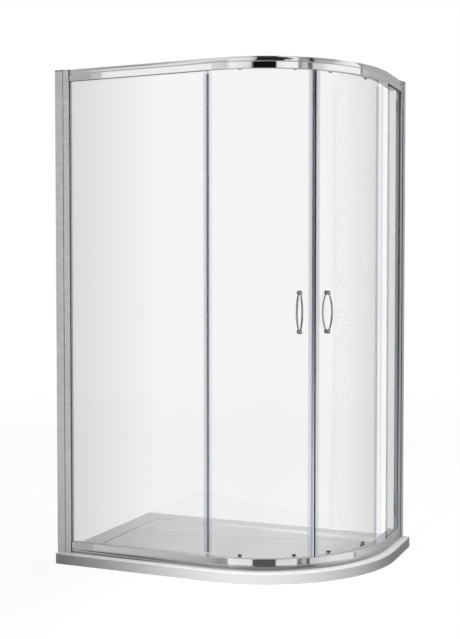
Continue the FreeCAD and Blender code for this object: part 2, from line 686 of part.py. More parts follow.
def glass_room(name, side):
    """The space of the door's glass with the seals' gap round it."""
    start = "-farAngle" if side == "left" else "meetingAngle"
    return sector(name, f"{doorOuter} + sealGap", f"{doorInner} - sealGap", f"{start}",
                  "farAngle - meetingAngle", f"{doorFoot} - overcut", f"{doorTop} - {doorFoot} + 2 * overcut")


def meeting_seal(side):
    """Clear profile on the door's meeting edge, and the magnet strip in front of it."""
    foot, height = doorFoot, f"{doorTop} - {doorFoot}"
    start = "(magnetGap + magnetWidth + magnetGap)"
    depth = "(glassThickness + 2 * (sealGap + sealWall))"
    blank = box(f"meeting_blank_{side}",
                (f"{doorInner} - sealGap - sealWall", beyond(side, start, f"sealEnd - {start}"), foot),
                (depth, f"sealEnd - {start}", height))
    seal = cut(f"meeting_seal_{side}", blank, glass_room(f"meeting_room_{side}", side))
    keep(f"meeting_seal_{side}", on_bend(side, seal))
    magnet = box(f"magnet_bar_{side}",
                 (f"{doorInner} + glassThickness / 2 - magnetDepth / 2",
                  beyond(side, "magnetGap", "magnetWidth"), foot),
                 ("magnetDepth", "magnetWidth", height))
    keep(f"magnet_strip_{side}", on_bend(side, group(f"magnet_strip_{side}", [magnet])))


def trailing_seal(side):
    """Strip on the door's other edge, with a fin towards the fixed pane."""
    foot, height = between_rails()
    depth = "(glassThickness + 2 * (sealGap + sealWall))"
    x = f"{doorInner} - sealGap - sealWall"
    grip = box(f"tail_grip_{side}", (x, beyond(side, "-tailGrip", "tailGrip + sealGap + tailWall"), foot),
               (depth, "tailGrip + sealGap + tailWall", height))
    fin = box(f"tail_fin_{side}", (x, beyond(side, "sealGap", "tailWall"), foot),
              (f"{depth} + tailFin", "tailWall", height))
    blank = fuse(f"tail_blank_{side}", grip, fin)
    sign = -1 if side == "left" else 1
    room = turned(f"tail_room_at_{side}", glass_room(f"tail_room_{side}", side), f"-({sign}) * farAngle")
    seal = cut(f"trailing_seal_{side}", blank, room)
    keep(f"trailing_seal_{side}", on_bend(side, seal, "farAngle"))


# ---- handles -----------------------------------------------------------------------------------

def handle(side, face):
    """A bow handle: two round feet and a flat strap bent to an arc between them."""
    out = 1 if face == "outer" else -1
    seat = f"({doorOuter} + glassSeat + washerThickness)" if out == 1 else \
        f"({doorInner} - glassSeat - washerThickness)"
    middle = "(handleHeight + trayHeight)"
    radius = "((handleSpacing ^ 2 / 4 + handleRise ^ 2) / (2 * handleRise))"
    arc = "(4 * atan(2 * handleRise / handleSpacing))"
    centre = f"({seat} + {out} * (footDepth / 2 + handleRise - {radius}))"
    name = f"handle_{face}_{side}"
    body = add_body(name)
    section = add_sketch(body, "XY_Plane", f"{name}_section", middle)
    axis = section.addGeometry(Part.LineSegment(spot(centre, "0"), spot(centre, "bendRadius")), True)
    pin(section, axis, 1, centre, "0")
    pin(section, axis, 2, centre, "bendRadius")
    near = f"{centre} + {out} * ({radius} - strapThickness / 2)"
    far = f"{centre} + {out} * ({radius} + strapThickness / 2)"
    crown = f"{centre} + {out} * {radius}"
    rim = "strapWidth / 2"
    outline(section, [(near, f"-{rim} + strapEase"), (crown, f"-{rim}"), (far, f"-{rim} + 2 * strapEase"),
                      (far, f"{rim} - 2 * strapEase"), (crown, rim), (near, f"{rim} - strapEase")])
    strap = body.newObject("PartDesign::Revolution", f"{name}_strap")
    strap.Profile = section
    strap.ReferenceAxis = (section, ["Axis0"])
    bind(strap, "Angle", arc)
    strap.Midplane = True
    feet = add_sketch(body, "YZ_Plane", f"{name}_feet", seat)
    tips = add_sketch(body, "YZ_Plane", f"{name}_tips", seat)
    sockets = add_sketch(body, "YZ_Plane", f"{name}_sockets", seat)
    for step in (-1, 1):
        height = f"{middle} + {step} * handleSpacing / 2"
        circle(feet, "0", height, "footRadius")
        circle(tips, "0", height, "footRadius - footEdge")
        circle(sockets, "0", height, "studRadius + studGap")
    pad(body, feet, "footDepth - footEdge", backwards=out == -1)
    pad(body, tips, "footDepth", backwards=out == -1)
    pocket(body, sockets, "studGrip + studGap", backwards=out == 1)
    keep(name, on_bend(side, body, "handleAngle"))


def handle_fixings(side):
    studs, washers = [], []
    for number, step in enumerate((-1, 1)):
        height = f"handleHeight + trayHeight + {step} * handleSpacing / 2"
        reach = "(glassSeat + washerThickness + studGrip)"
        stud = rod(f"stud_{side}_{number}", (f"{doorInner} - {reach}", "0", height), "studRadius",
                   f"glassThickness + 2 * {reach}", "x")
        studs.append(on_bend(side, group(f"stud_at_{side}_{number}", [stud]), "handleAngle"))
        for face, x in (("in", f"{doorInner} - glassSeat - washerThickness"),
                        ("out", f"{doorOuter} + glassSeat")):
            disc = rod(f"washer_disc_{side}_{number}_{face}", (x, "0", height), "footRadius",
                       "washerThickness", "x")
            hole = rod(f"washer_hole_{side}_{number}_{face}", (f"{x} - overcut", "0", height),
                       "studRadius + studGap", "washerThickness + 2 * overcut", "x")
            washer = cut(f"washer_{side}_{number}_{face}", disc, hole)
            washers.append(on_bend(side, washer, "handleAngle"))
    keep(f"handle_studs_{side}", group(f"handle_studs_{side}", studs))
    keep(f"handle_washers_{side}", group(f"handle_washers_{side}", washers))


# ---- top rollers -------------------------------------------------------------------------------

def wheel(name, side, angle, height):
    """A plain-bearing roller wheel on a radial axle."""
    bore, tread = "axleRadius + axleGap", "wheelRadius"
    profile = [(wheelFar, bore), (wheelNear, bore), (wheelNear, f"{tread} - wheelBevel"),
               (f"{wheelNear} - wheelBevel", tread), (f"{wheelFar} + wheelBevel", tread),
               (wheelFar, f"{tread} - wheelBevel")]
    keep(name, on_bend(side, lathe(name, height, profile), angle))


def axle_profile(start):
    """Outline of an axle from start outwards: shoulder, journal and the head that holds the wheel."""
    near, far = f"({wheelFar} - wheelPlay)", f"({wheelNear} + wheelPlay)"
    return [(start, "axleRadius"), (f"{near} - shoulderDepth", "axleRadius"),
            (f"{near} - shoulderDepth", "shoulder"), (near, "shoulder"), (near, "axleRadius"),
            (far, "axleRadius"), (far, "axleHead"), (f"{far} + axleHeadDepth", "axleHead"),
            (f"{far} + axleHeadDepth", "0")]


def top_rollers(side):
    axles, caps = [], []
    flange = f"({doorOuter} + glassSeat)"
    for name, angle in rollers.items():
        tag = f"{side}_{name}"
        profile = [(f"{doorInner} - glassSeat", "0"), (f"{doorInner} - glassSeat", "stemRadius"),
                   (flange, "stemRadius"), (flange, "flangeRadius"),
                   (f"{flange} + flangeDepth", "flangeRadius")] + axle_profile(f"{flange} + flangeDepth")
        axles.append(on_bend(side, lathe(f"top_axle_{tag}", highWheel, profile), angle))
        seat = f"({doorInner} - seatGap)"
        cap = [(seat, "0"), (seat, "capRadius"), (f"{seat} - capDepth + capBevel", "capRadius"),
               (f"{seat} - capDepth", "capRadius - capBevel"), (f"{seat} - capDepth", "capScrew"),
               (f"{seat} - capDepth + capBevel", "capScrew"), (f"{seat} - capDepth + capBevel", "0")]
        caps.append(on_bend(side, lathe(f"top_cap_{tag}", highWheel, cap), angle))
        wheel(f"top_wheel_{tag}", side, angle, highWheel)
    keep(f"top_roller_axles_{side}", group(f"top_roller_axles_{side}", axles))
    keep(f"top_roller_caps_{side}", group(f"top_roller_caps_{side}", caps))


# ---- push-button bottom rollers ----------------------------------------------------------------

def soft_block(name, corner, extent, radius, chosen):
    """A block with the chosen edges rounded; chosen tests the two ends and the middle of each edge."""
    body = add_body(name)
    (x, y, z), (length, width, height) = corner, extent
    plan = add_sketch(body, "XY_Plane", f"{name}_plan", z)
    end, rim = f"{x} + {length}", f"{y} + {width}"
    outline(plan, [(x, y), (end, y), (end, rim), (x, rim)])
    block = pad(body, plan, height)
    body.recompute(True)
    fillet(body, block, edges_where(body.Shape, chosen), radius)
    return body


def bottom_rollers(side):
    housings, clamps = [], []
    back = f"({doorInner} - seatGap)"
    front = f"({back} - housingDepth)"
    room = ("(housingDepth - 2 * housingWall)", "(housingWidth - 2 * housingWall)",
            "(housingTop - housingLid - housingFoot - housingWall)")
    centre = f"({back} - housingDepth / 2)"
    block_foot = f"({lowWheel} - blockHeight / 2)"
    across, half, crown = measure(front), measure("housingWidth / 2"), measure("buttonTop")
    for name, angle in rollers.items():
        tag = f"{side}_{name}"
        shell = soft_block(f"housing_shell_{tag}", (front, "-housingWidth / 2", "housingFoot"),
                           ("housingDepth", "housingWidth", "housingTop - housingFoot"), "housingEdge",
                           lambda at: abs(at.x - across) < on_plane and abs(abs(at.y) - half) < on_plane)
        grip = "(seatGap + glassThickness + glassSeat + clampDepth)"
        collar = slot_tool(f"housing_collar_{tag}", "armHalf + collarWall", f"{back} - housingWall / 2",
                           f"housingWall / 2 + {grip}")
        cavity = box(f"housing_cavity_{tag}",
                     (f"{front} + housingWall", f"-{room[1]} / 2", "housingFoot + housingWall"), room)
        arm_way = slot_tool(f"housing_way_{tag}", "armHalf", f"{back} - housingWall - overcut",
                            f"housingWall + {grip} + 2 * overcut")
        stem_way = rod(f"housing_stem_way_{tag}", (centre, "0", "housingTop - housingLid - overcut"),
                       "pushStem + blockGap", "housingLid + 2 * overcut")
        housing = cut(f"housing_{tag}", fuse(f"housing_solid_{tag}", shell, collar), cavity, arm_way, stem_way)
        housings.append(on_bend(side, housing, angle))

        face = f"({doorOuter} + glassSeat)"
        low = f"({lowWheel} - pushTravel - armHalf - collarWall - clampEdge)"
        high = f"({lowWheel} + armHalf + collarWall + clampEdge)"
        plate = box(f"clamp_plate_{tag}", (face, "-clampWidth / 2", low),
                    ("clampDepth", "clampWidth", f"{high} - {low}"))
        hole = slot_tool(f"clamp_way_{tag}", "armHalf + collarWall + collarGap / 2", f"{face} - overcut",
                         "clampDepth + 2 * overcut")
        clamps.append(on_bend(side, cut(f"clamp_{tag}", plate, hole), angle))

        block = box(f"push_block_{tag}",
                    (f"{front} + housingWall + blockGap", f"-{room[1]} / 2 + blockGap", block_foot),
                    (f"{room[0]} - 2 * blockGap", f"{room[1]} - 2 * blockGap", "blockHeight"))
        stem = rod(f"push_stem_{tag}", (centre, "0", f"{block_foot} + blockHeight / 2"), "pushStem",
                   f"buttonFoot - {block_foot} - blockHeight / 2 + overcut")
        button = soft_block(f"push_button_{tag}",
                            (f"{centre} - buttonDepth / 2", "-buttonWidth / 2", "buttonFoot"),
                            ("buttonDepth", "buttonWidth", "buttonTop - buttonFoot"), "buttonEdge",
                            lambda at: abs(at.z - crown) < on_plane)
        arm = lathe(f"push_arm_{tag}", lowWheel, [(centre, "0")] + axle_profile(centre))
        knob = fuse(f"push_knob_{tag}", block, stem, button, arm)
        keep(f"push_roller_{tag}", on_bend(side, knob, angle))
        wheel(f"bottom_wheel_{tag}", side, angle, lowWheel)

        foot = "(housingFoot + housingWall)"
        coil = rod(f"spring_outer_{tag}", (centre, "0", foot), "springRadius", f"{block_foot} - {foot}")
        core = rod(f"spring_inner_{tag}", (centre, "0", f"{foot} - overcut"), "springRadius - springWire",
                   f"{block_foot} - {foot} + 2 * overcut")
        keep(f"push_spring_{tag}", on_bend(side, cut(f"push_spring_{tag}", coil, core), angle))
    keep(f"roller_housings_{side}", group(f"roller_housings_{side}", housings))
    keep(f"roller_clamps_{side}", group(f"roller_clamps_{side}", clamps))


def door_stops():
    """Rubber blocks on the top track: two that end the doors' closing, two that end their opening.

    Both doors open equally far, as the short side's straight run less the room kept to its wall allows.
    """
    floor = f"{top} - trackCeiling"
    near = "trackLine - stopDepth / 2"
    extent = ("stopDepth", "stopLength", "stopHeight")
    stops = []
    for side, sign in walls.items():
        closed = box(f"closed_stop_box_{side}",
                     (f"bendRadius - ({near}) - stopDepth", "-stopLength / 2", floor), extent)
        stops.append(on_bend(side, group(f"closed_stop_{side}", [closed]), "closedStop"))
        opened = wall_box(side, f"open_stop_box_{side}", f"{tangents[side]} - {tangents['right']} + openRoom",
                          near, floor, ("stopLength", "stopDepth", "stopHeight"))
        stops.append(on_wall(side, group(f"open_stop_{side}", [opened])))
    keep("door_stops", group("door_stops", stops))


# ---- assembly ----------------------------------------------------------------------------------

shower_tray()
rail("bottom")
rail("top")
slot_covers()
rail_ends()
upright_caps()
fixing_screws()
door_stops()
for side in walls:
    wall_channel(side)
    upright_profile(side)
    fixed_pane(side)
    glazing_gasket(side)
    edge_seal(side)
    door_glass(side)
    meeting_seal(side)
    trailing_seal(side)
    handle(side, "outer")
    handle(side, "inner")
    handle_fixings(side)
    top_rollers(side)
    bottom_rollers(side)

doc.recompute()
faults = [item.Label for item in doc.Objects if {"Invalid", "Error"} & set(item.State)]
faults += [name for name, item in nodes.items() if item.Shape.isNull() or not item.Shape.isValid()]
if faults:
    raise ValueError(f"not sound: {faults}")

os.makedirs("parts", exist_ok=True)
for name, item in nodes.items():
    item.Shape.exportStep(f"parts/{name}.step")
print(f"{len(nodes)} nodes written")
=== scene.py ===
import bpy
import bmesh
import math
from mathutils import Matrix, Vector


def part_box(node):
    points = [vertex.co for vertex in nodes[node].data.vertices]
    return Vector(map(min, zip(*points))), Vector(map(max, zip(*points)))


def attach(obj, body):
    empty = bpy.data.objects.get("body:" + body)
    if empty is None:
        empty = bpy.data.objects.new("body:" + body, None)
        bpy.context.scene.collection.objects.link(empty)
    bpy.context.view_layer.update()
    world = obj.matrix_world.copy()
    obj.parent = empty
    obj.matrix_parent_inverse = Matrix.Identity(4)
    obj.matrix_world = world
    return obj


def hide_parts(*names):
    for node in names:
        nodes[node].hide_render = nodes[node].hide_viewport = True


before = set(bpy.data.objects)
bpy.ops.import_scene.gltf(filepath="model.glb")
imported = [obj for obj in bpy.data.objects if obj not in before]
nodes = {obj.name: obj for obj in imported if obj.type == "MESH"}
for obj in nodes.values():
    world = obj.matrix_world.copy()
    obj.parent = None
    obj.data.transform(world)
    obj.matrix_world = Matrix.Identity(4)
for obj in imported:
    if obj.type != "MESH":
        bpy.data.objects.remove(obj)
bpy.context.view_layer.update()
print("frame loaded:", len(nodes), "nodes")

# the big bend that rails and doors follow, in metres and degrees: from facing the front to facing the right
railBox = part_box("bottom_rail")
bend = {
    "centre": (0.043, 0.150), "radius": 0.525, "start": -90, "sweep": 90, "steps": 90,
    "railStart": railBox[0][0], "railFinish": railBox[1][1],
}
meetingTurn = math.radians(bend["start"] + bend["sweep"] / 2)
sides = {"left": -1, "right": 1}      # which way round the bend from the doors' meeting line


# camera: place and clip in metres, turns in radians, lens and sensor in millimetres
photoCamera = {
    "place": (1.64193, -4.00586, 1.10249), "nod": -0.0384, "turn": 0.3963,
    "lens": 61.775, "sensor": 36.0, "clip": (0.05, 100),
}


def makeCamera():
    data = bpy.data.cameras.new("photoCamera")
    data.lens = photoCamera["lens"]
    data.sensor_width = photoCamera["sensor"]
    data.clip_start, data.clip_end = photoCamera["clip"]
    camera = bpy.data.objects.new("photoCamera", data)
    camera.location = photoCamera["place"]
    camera.rotation_euler = (math.pi / 2 + photoCamera["nod"], 0, photoCamera["turn"])
    bpy.context.scene.collection.objects.link(camera)
    bpy.context.scene.camera = camera


makeCamera()
print("camera placed")


# node helpers
def addNode(tree, kind, settings=None, **values):
    node = tree.nodes.new(kind)
    for name, value in (settings or {}).items():
        setattr(node, name, value)
    for name, value in values.items():
        node.inputs[name].default_value = value
    return node


def newGroup(name, inputs, outputs):
    group = bpy.data.node_groups.new(name, "ShaderNodeTree")
    for socketName, kind, value in inputs:
        socket = group.interface.new_socket(socketName, in_out="INPUT", socket_type=kind)
        socket.default_value = value
    for socketName, kind in outputs:
        group.interface.new_socket(socketName, in_out="OUTPUT", socket_type=kind)
    return group, group.nodes.new("NodeGroupInput"), group.nodes.new("NodeGroupOutput")


def mapRange(tree, source, low, high, fromLow=0.0, fromHigh=1.0):
    # low and high are numbers or sockets
    node = tree.nodes.new("ShaderNodeMapRange")
    node.inputs["From Min"].default_value = fromLow
    node.inputs["From Max"].default_value = fromHigh
    tree.links.new(source, node.inputs["Value"])
    for socketName, value in (("To Min", low), ("To Max", high)):
        if isinstance(value, (int, float)):
            node.inputs[socketName].default_value = value
        else:
            tree.links.new(value, node.inputs[socketName])
    return node.outputs["Result"]


def higherOf(tree, first, second):
    node = addNode(tree, "ShaderNodeMath", {"operation": "MAXIMUM"})
    tree.links.new(first, node.inputs[0])
    tree.links.new(second, node.inputs[1])
    return node.outputs[0]


def productOf(tree, first, second):
    node = addNode(tree, "ShaderNodeMath", {"operation": "MULTIPLY"})
    tree.links.new(first, node.inputs[0])
    if isinstance(second, (int, float)):
        node.inputs[1].default_value = second
    else:
        tree.links.new(second, node.inputs[1])
    return node.outputs[0]


def mixOf(tree, factor, first, second, mode="MIX"):
    # first and second are colours or sockets
    node = addNode(tree, "ShaderNodeMix", {"data_type": "RGBA", "blend_type": mode})
    tree.links.new(factor, node.inputs["Factor"])
    for socketName, value in (("A", first), ("B", second)):
        if isinstance(value, tuple):
            node.inputs[socketName].default_value = value
        else:
            tree.links.new(value, node.inputs[socketName])
    return node.outputs["Result"]


# effects that several materials share; a spread is the span of noise values that counts as none to all, and
# a spot fades between the two reaches from its middle, in cells
toneShape = {"detail": 4.0, "roughness": 0.55, "spread": (0.3, 0.7), "glossDetail": 3.0, "glossFineness": 7.0}
grainShape = {"detail": 2.0, "roughness": 0.6, "spread": (0.35, 0.65)}
dropShape = {"reach": (0.05, 0.16), "cloudSize": 5.0, "cloudDetail": 3.0, "cloudSpread": (0.5, 0.68)}


def makeToneGroup():
    # slow, faint change of colour and gloss over a surface
    group, entry, leave = newGroup("slowTone", [
        ("Light", "NodeSocketColor", (0.9, 0.9, 0.9, 1)), ("Dark", "NodeSocketColor", (0.8, 0.8, 0.8, 1)),
        ("Size", "NodeSocketFloat", 6.0), ("Gloss Low", "NodeSocketFloat", 0.2),
        ("Gloss High", "NodeSocketFloat", 0.3)],
        [("Color", "NodeSocketColor"), ("Roughness", "NodeSocketFloat")])
    links = group.links
    place = addNode(group, "ShaderNodeTexCoord")
    cloud = addNode(group, "ShaderNodeTexNoise", Detail=toneShape["detail"], Roughness=toneShape["roughness"])
    links.new(place.outputs["Object"], cloud.inputs["Vector"])
    links.new(entry.outputs["Size"], cloud.inputs["Scale"])
    share = mapRange(group, cloud.outputs["Fac"], 0.0, 1.0, *toneShape["spread"])
    colour = mixOf(group, share, entry.outputs["Light"], entry.outputs["Dark"])
    links.new(colour, leave.inputs["Color"])
    fine = addNode(group, "ShaderNodeTexNoise", Detail=toneShape["glossDetail"])
    links.new(place.outputs["Object"], fine.inputs["Vector"])
    links.new(productOf(group, entry.outputs["Size"], toneShape["glossFineness"]), fine.inputs["Scale"])
    gloss = mapRange(group, fine.outputs["Fac"], entry.outputs["Gloss Low"], entry.outputs["Gloss High"],
                     *toneShape["spread"])
    links.new(gloss, leave.inputs["Roughness"])
    return group


def makeGrainGroup():
    # fine lines or grains: they run along the axis that Stretch has its smallest number for
    group, entry, leave = newGroup("fineGrain", [
        ("Stretch", "NodeSocketVector", (1.0, 1.0, 1.0)), ("Density", "NodeSocketFloat", 900.0)],
        [("Height", "NodeSocketFloat"), ("Mask", "NodeSocketFloat")])
    links = group.links
    place = addNode(group, "ShaderNodeTexCoord")
    squeeze = addNode(group, "ShaderNodeVectorMath", {"operation": "MULTIPLY"})
    links.new(place.outputs["Object"], squeeze.inputs[0])
    links.new(entry.outputs["Stretch"], squeeze.inputs[1])
    speck = addNode(group, "ShaderNodeTexNoise", Detail=grainShape["detail"],
                    Roughness=grainShape["roughness"])
    links.new(squeeze.outputs["Vector"], speck.inputs["Vector"])
    links.new(entry.outputs["Density"], speck.inputs["Scale"])
    links.new(speck.outputs["Fac"], leave.inputs["Height"])
    links.new(mapRange(group, speck.outputs["Fac"], 0.0, 1.0, *grainShape["spread"]), leave.inputs["Mask"])
    return group


def makeDropGroup():
    # dried water spots: small dots, here and there in patches, that dull the gloss a little
    group, entry, leave = newGroup("waterSpots", [
        ("Density", "NodeSocketFloat", 55.0), ("Amount", "NodeSocketFloat", 0.5)],
        [("Mask", "NodeSocketFloat")])
    links = group.links
    place = addNode(group, "ShaderNodeTexCoord")
    cells = addNode(group, "ShaderNodeTexVoronoi", {"feature": "F1"})
    links.new(place.outputs["Object"], cells.inputs["Vector"])
    links.new(entry.outputs["Density"], cells.inputs["Scale"])
    spot = mapRange(group, cells.outputs["Distance"], 1.0, 0.0, *dropShape["reach"])
    cloud = addNode(group, "ShaderNodeTexNoise", Scale=dropShape["cloudSize"],
                    Detail=dropShape["cloudDetail"])
    links.new(place.outputs["Object"], cloud.inputs["Vector"])
    patch = mapRange(group, cloud.outputs["Fac"], 0.0, 1.0, *dropShape["cloudSpread"])
    mask = productOf(group, productOf(group, spot, patch), entry.outputs["Amount"])
    links.new(mask, leave.inputs["Mask"])
    return group


slowTone = makeToneGroup()
fineGrain = makeGrainGroup()
waterSpots = makeDropGroup()
print("shader groups built")


# materials; an underscore in an argument's name stands for the space in the socket's name
def startMaterial(name, **plain):
    material = bpy.data.materials.new(name)
    material.use_nodes = True
    tree = material.node_tree
    shader = tree.nodes["Principled BSDF"]
    for socketName, value in plain.items():
        shader.inputs[socketName.replace("_", " ")].default_value = value
    return material, tree, shader


def placeGroup(tree, group, **values):
    node = tree.nodes.new("ShaderNodeGroup")
    node.node_tree = group
    for socketName, value in values.items():
        node.inputs[socketName.replace("_", " ")].default_value = value
    return node


def addTone(tree, shader, light, dark, size, glossLow, glossHigh):
    tone = placeGroup(tree, slowTone, Light=(*light, 1), Dark=(*dark, 1), Size=size,
                      Gloss_Low=glossLow, Gloss_High=glossHigh)
    tree.links.new(tone.outputs["Color"], shader.inputs["Base Color"])
    tree.links.new(tone.outputs["Roughness"], shader.inputs["Roughness"])
    return tone


def addGrain(tree, shader, stretch, density, strength, depth):
    grain = placeGroup(tree, fineGrain, Stretch=stretch, Density=density)
    bump = addNode(tree, "ShaderNodeBump", Strength=strength, Distance=depth)
    tree.links.new(grain.outputs["Height"], bump.inputs["Height"])
    tree.links.new(bump.outputs["Normal"], shader.inputs["Normal"])
    return grain


finishes = {
    "trayWhite": dict(light=(0.84, 0.84, 0.835), dark=(0.80, 0.805, 0.805), size=3,
                      glossLow=0.16, glossHigh=0.26, stretch=(1, 1, 1), density=260, strength=0.04,
                      depth=0.0004, Specular_IOR_Level=0.3, Coat_Weight=0.15, Coat_Roughness=0.08),
    "railChrome": dict(light=(0.86, 0.865, 0.875), dark=(0.83, 0.835, 0.85), size=9,
                       glossLow=0.005, glossHigh=0.03, stretch=(1, 1, 1), density=700, strength=0.004,
                       depth=0.0001, Metallic=1.0),
    # upright brushing, which shows as slightly darker lines
    "satinAluminium": dict(light=(0.88, 0.885, 0.89), dark=(0.80, 0.81, 0.82), size=7,
                           glossLow=0.10, glossHigh=0.18, stretch=(60, 60, 0.8), density=16, strength=0.03,
                           depth=0.0002, streaks=0.14, streakColour=(0.3, 0.3, 0.3, 1), Metallic=1.0),
    "handleChrome": dict(light=(0.46, 0.465, 0.48), dark=(0.38, 0.385, 0.40), size=30,
                         glossLow=0.02, glossHigh=0.06, stretch=(1, 1, 1), density=900, strength=0.01,
                         depth=0.0001, Metallic=1.0),
    "magnetBlack": dict(light=(0.010, 0.010, 0.011), dark=(0.006, 0.006, 0.007), size=12,
                        glossLow=0.6, glossHigh=0.75, stretch=(40, 40, 1), density=60, strength=0.05,
                        depth=0.0002, Specular_IOR_Level=0.1),
    "stripPale": dict(light=(0.80, 0.81, 0.86), dark=(0.76, 0.77, 0.82), size=12,
                      glossLow=0.5, glossHigh=0.65, stretch=(30, 30, 2), density=60, strength=0.05,
                      depth=0.0002),
    "gasketGrey": dict(light=(0.76, 0.79, 0.81), dark=(0.68, 0.71, 0.73), size=14,
                       glossLow=0.5, glossHigh=0.65, stretch=(30, 30, 2), density=60, strength=0.05,
                       depth=0.0002),
    "blackNylon": dict(light=(0.028, 0.029, 0.032), dark=(0.018, 0.019, 0.021), size=40,
                       glossLow=0.32, glossHigh=0.45, stretch=(1, 1, 1), density=1800, strength=0.2,
                       depth=0.0001),
    "wheelWhite": dict(light=(0.78, 0.77, 0.73), dark=(0.71, 0.70, 0.66), size=40,
                       glossLow=0.35, glossHigh=0.5, stretch=(1, 1, 1), density=1500, strength=0.15,
                       depth=0.0001),
    "screwSteel": dict(light=(0.62, 0.62, 0.61), dark=(0.52, 0.52, 0.515), size=60,
                       glossLow=0.2, glossHigh=0.34, stretch=(1, 1, 1), density=1500, strength=0.1,
                       depth=0.0001, Metallic=1.0),
}


def makeFinish(name):
    facts = dict(finishes[name])
    tone = [facts.pop(key) for key in ("light", "dark", "size", "glossLow", "glossHigh")]
    grain = [facts.pop(key) for key in ("stretch", "density", "strength", "depth")]
    streaks, streakColour = facts.pop("streaks", 0), facts.pop("streakColour", None)
    material, tree, shader = startMaterial(name, **facts)
    tones = addTone(tree, shader, *tone)
    lines = addGrain(tree, shader, *grain)
    if streaks:
        share = mapRange(tree, lines.outputs["Mask"], 0.0, streaks)
        brushed = mixOf(tree, share, tones.outputs["Color"], streakColour, "MULTIPLY")
        tree.links.new(brushed, shader.inputs["Base Color"])
    return material


# See-through things let most of a ray pass straight on, tinted, and shade the rest. The tint is that of one
# face seen square on and of one seen at a flat angle; own is the share that is shaded.
clearGlass = dict(square=(0.950, 0.951, 0.950), flat=(0.862, 0.865, 0.863), own=0.10, rough=(0.0, 0.02),
                  base=(0.95, 0.96, 0.96, 1), transmission=1.0)
seeThrough = {
    "glassFace": clearGlass,
    # painted shade: the pane beside the wall is tinted darker evenly towards it, between two places along its
    # length, in metres
    "glassShaded": dict(clearGlass, shadedFrom=-0.16, shadedTo=-0.56, shade=(0.86, 0.86, 0.863)),
    "glassEdge": dict(square=(0.02, 0.06, 0.07), flat=(0.02, 0.05, 0.06), own=0.60, rough=(0.08, 0.2),
                      base=(0.03, 0.10, 0.11, 1), transmission=0.0),
    "sealedEdge": dict(square=(0.72, 0.76, 0.80), flat=(0.55, 0.60, 0.66), own=0.30, rough=(0.08, 0.2),
                       base=(0.45, 0.50, 0.56, 1), transmission=0.5),
    "clearSeal": dict(square=(0.984, 0.985, 0.990), flat=(0.87, 0.88, 0.90), own=0.14, rough=(0.18, 0.26),
                      base=(0.80, 0.82, 0.86, 1), transmission=0.45),
    "clearLip": dict(square=(0.990, 0.990, 0.992), flat=(0.95, 0.952, 0.96), own=0.05, rough=(0.18, 0.26),
                     base=(0.80, 0.82, 0.86, 1), transmission=0.45),
}
clearParts = {"bending": 1.5, "facingBlend": 0.5, "facingSpread": (0.14, 0.75), "spotDensity": 55,
              "spotAmount": 0.6}


# painted shade: multiplies a colour darker between two places along the object's X axis
def addShade(tree, colour, facts):
    place = addNode(tree, "ShaderNodeTexCoord")
    split = addNode(tree, "ShaderNodeSeparateXYZ")
    tree.links.new(place.outputs["Object"], split.inputs["Vector"])
    share = mapRange(tree, split.outputs["X"], 0.0, 1.0, facts["shadedFrom"], facts["shadedTo"])
    return mixOf(tree, share, colour, (*facts["shade"], 1), "MULTIPLY")


def makeSeeThrough(name, facts):
    material, tree, shader = startMaterial(name, Base_Color=facts["base"], IOR=clearParts["bending"],
                                           Transmission_Weight=facts["transmission"])
    spots = placeGroup(tree, waterSpots, Density=clearParts["spotDensity"], Amount=clearParts["spotAmount"])
    tree.links.new(mapRange(tree, spots.outputs["Mask"], *facts["rough"]), shader.inputs["Roughness"])
    facing = addNode(tree, "ShaderNodeLayerWeight", Blend=clearParts["facingBlend"])
    flatness = mapRange(tree, facing.outputs["Facing"], 0.0, 1.0, *clearParts["facingSpread"])
    colour = mixOf(tree, flatness, (*facts["square"], 1), (*facts["flat"], 1))
    if "shade" in facts:
        colour = addShade(tree, colour, facts)
    clear = addNode(tree, "ShaderNodeBsdfTransparent")
    tree.links.new(colour, clear.inputs["Color"])
    rays = addNode(tree, "ShaderNodeLightPath")
    # light that falls through, and light that bounces about, is never shaded
    passing = higherOf(tree, rays.outputs["Is Shadow Ray"], rays.outputs["Is Diffuse Ray"])
    pick = addNode(tree, "ShaderNodeMixShader")
    tree.links.new(mapRange(tree, passing, 1 - facts["own"], 1.0), pick.inputs["Fac"])
    tree.links.new(shader.outputs["BSDF"], pick.inputs[1])
    tree.links.new(clear.outputs["BSDF"], pick.inputs[2])
    tree.links.new(pick.outputs["Shader"], tree.nodes["Material Output"].inputs["Surface"])
    return material


materials = {name: makeFinish(name) for name in finishes}
materials.update({name: makeSeeThrough(name, facts) for name, facts in seeThrough.items()})
print("materials built:", len(materials))

# which finish each carried-over node takes: the first entry whose name the node's name starts with
nodeFinish = {
    "shower_tray": "trayWhite", "wall_channel": "satinAluminium", "upright_caps": "blackNylon",
    "upright": "satinAluminium", "bottom_rail": "railChrome", "top_rail": "railChrome",
    "fixed_glass_left": "glassShaded", "fixed_glass": "glassFace", "door_glass": "glassFace",
    "glazing_gasket": "gasketGrey",
    "fixed_edge_seal": "clearLip", "meeting_seal": "clearSeal", "trailing_seal": "clearSeal",
    "magnet_strip_left": "stripPale", "magnet_strip": "magnetBlack", "rail_end_pieces": "blackNylon",
    "rail_screws": "screwSteel", "channel_screws": "screwSteel", "screw_covers": "handleChrome",
    "slot_covers": "railChrome", "door_stops": "gasketGrey", "handle_washers": "clearSeal",
    "handle_studs": "screwSteel",
    "handle": "handleChrome", "top_roller_axles": "screwSteel", "top_roller_caps": "blackNylon",
    "top_wheel": "wheelWhite", "bottom_wheel": "wheelWhite", "roller_housings": "blackNylon",
    "roller_clamps": "blackNylon", "push_roller": "blackNylon", "push_spring": "screwSteel",
}


def finishOf(node):
    return next(finish for start, finish in nodeFinish.items() if node.startswith(start))


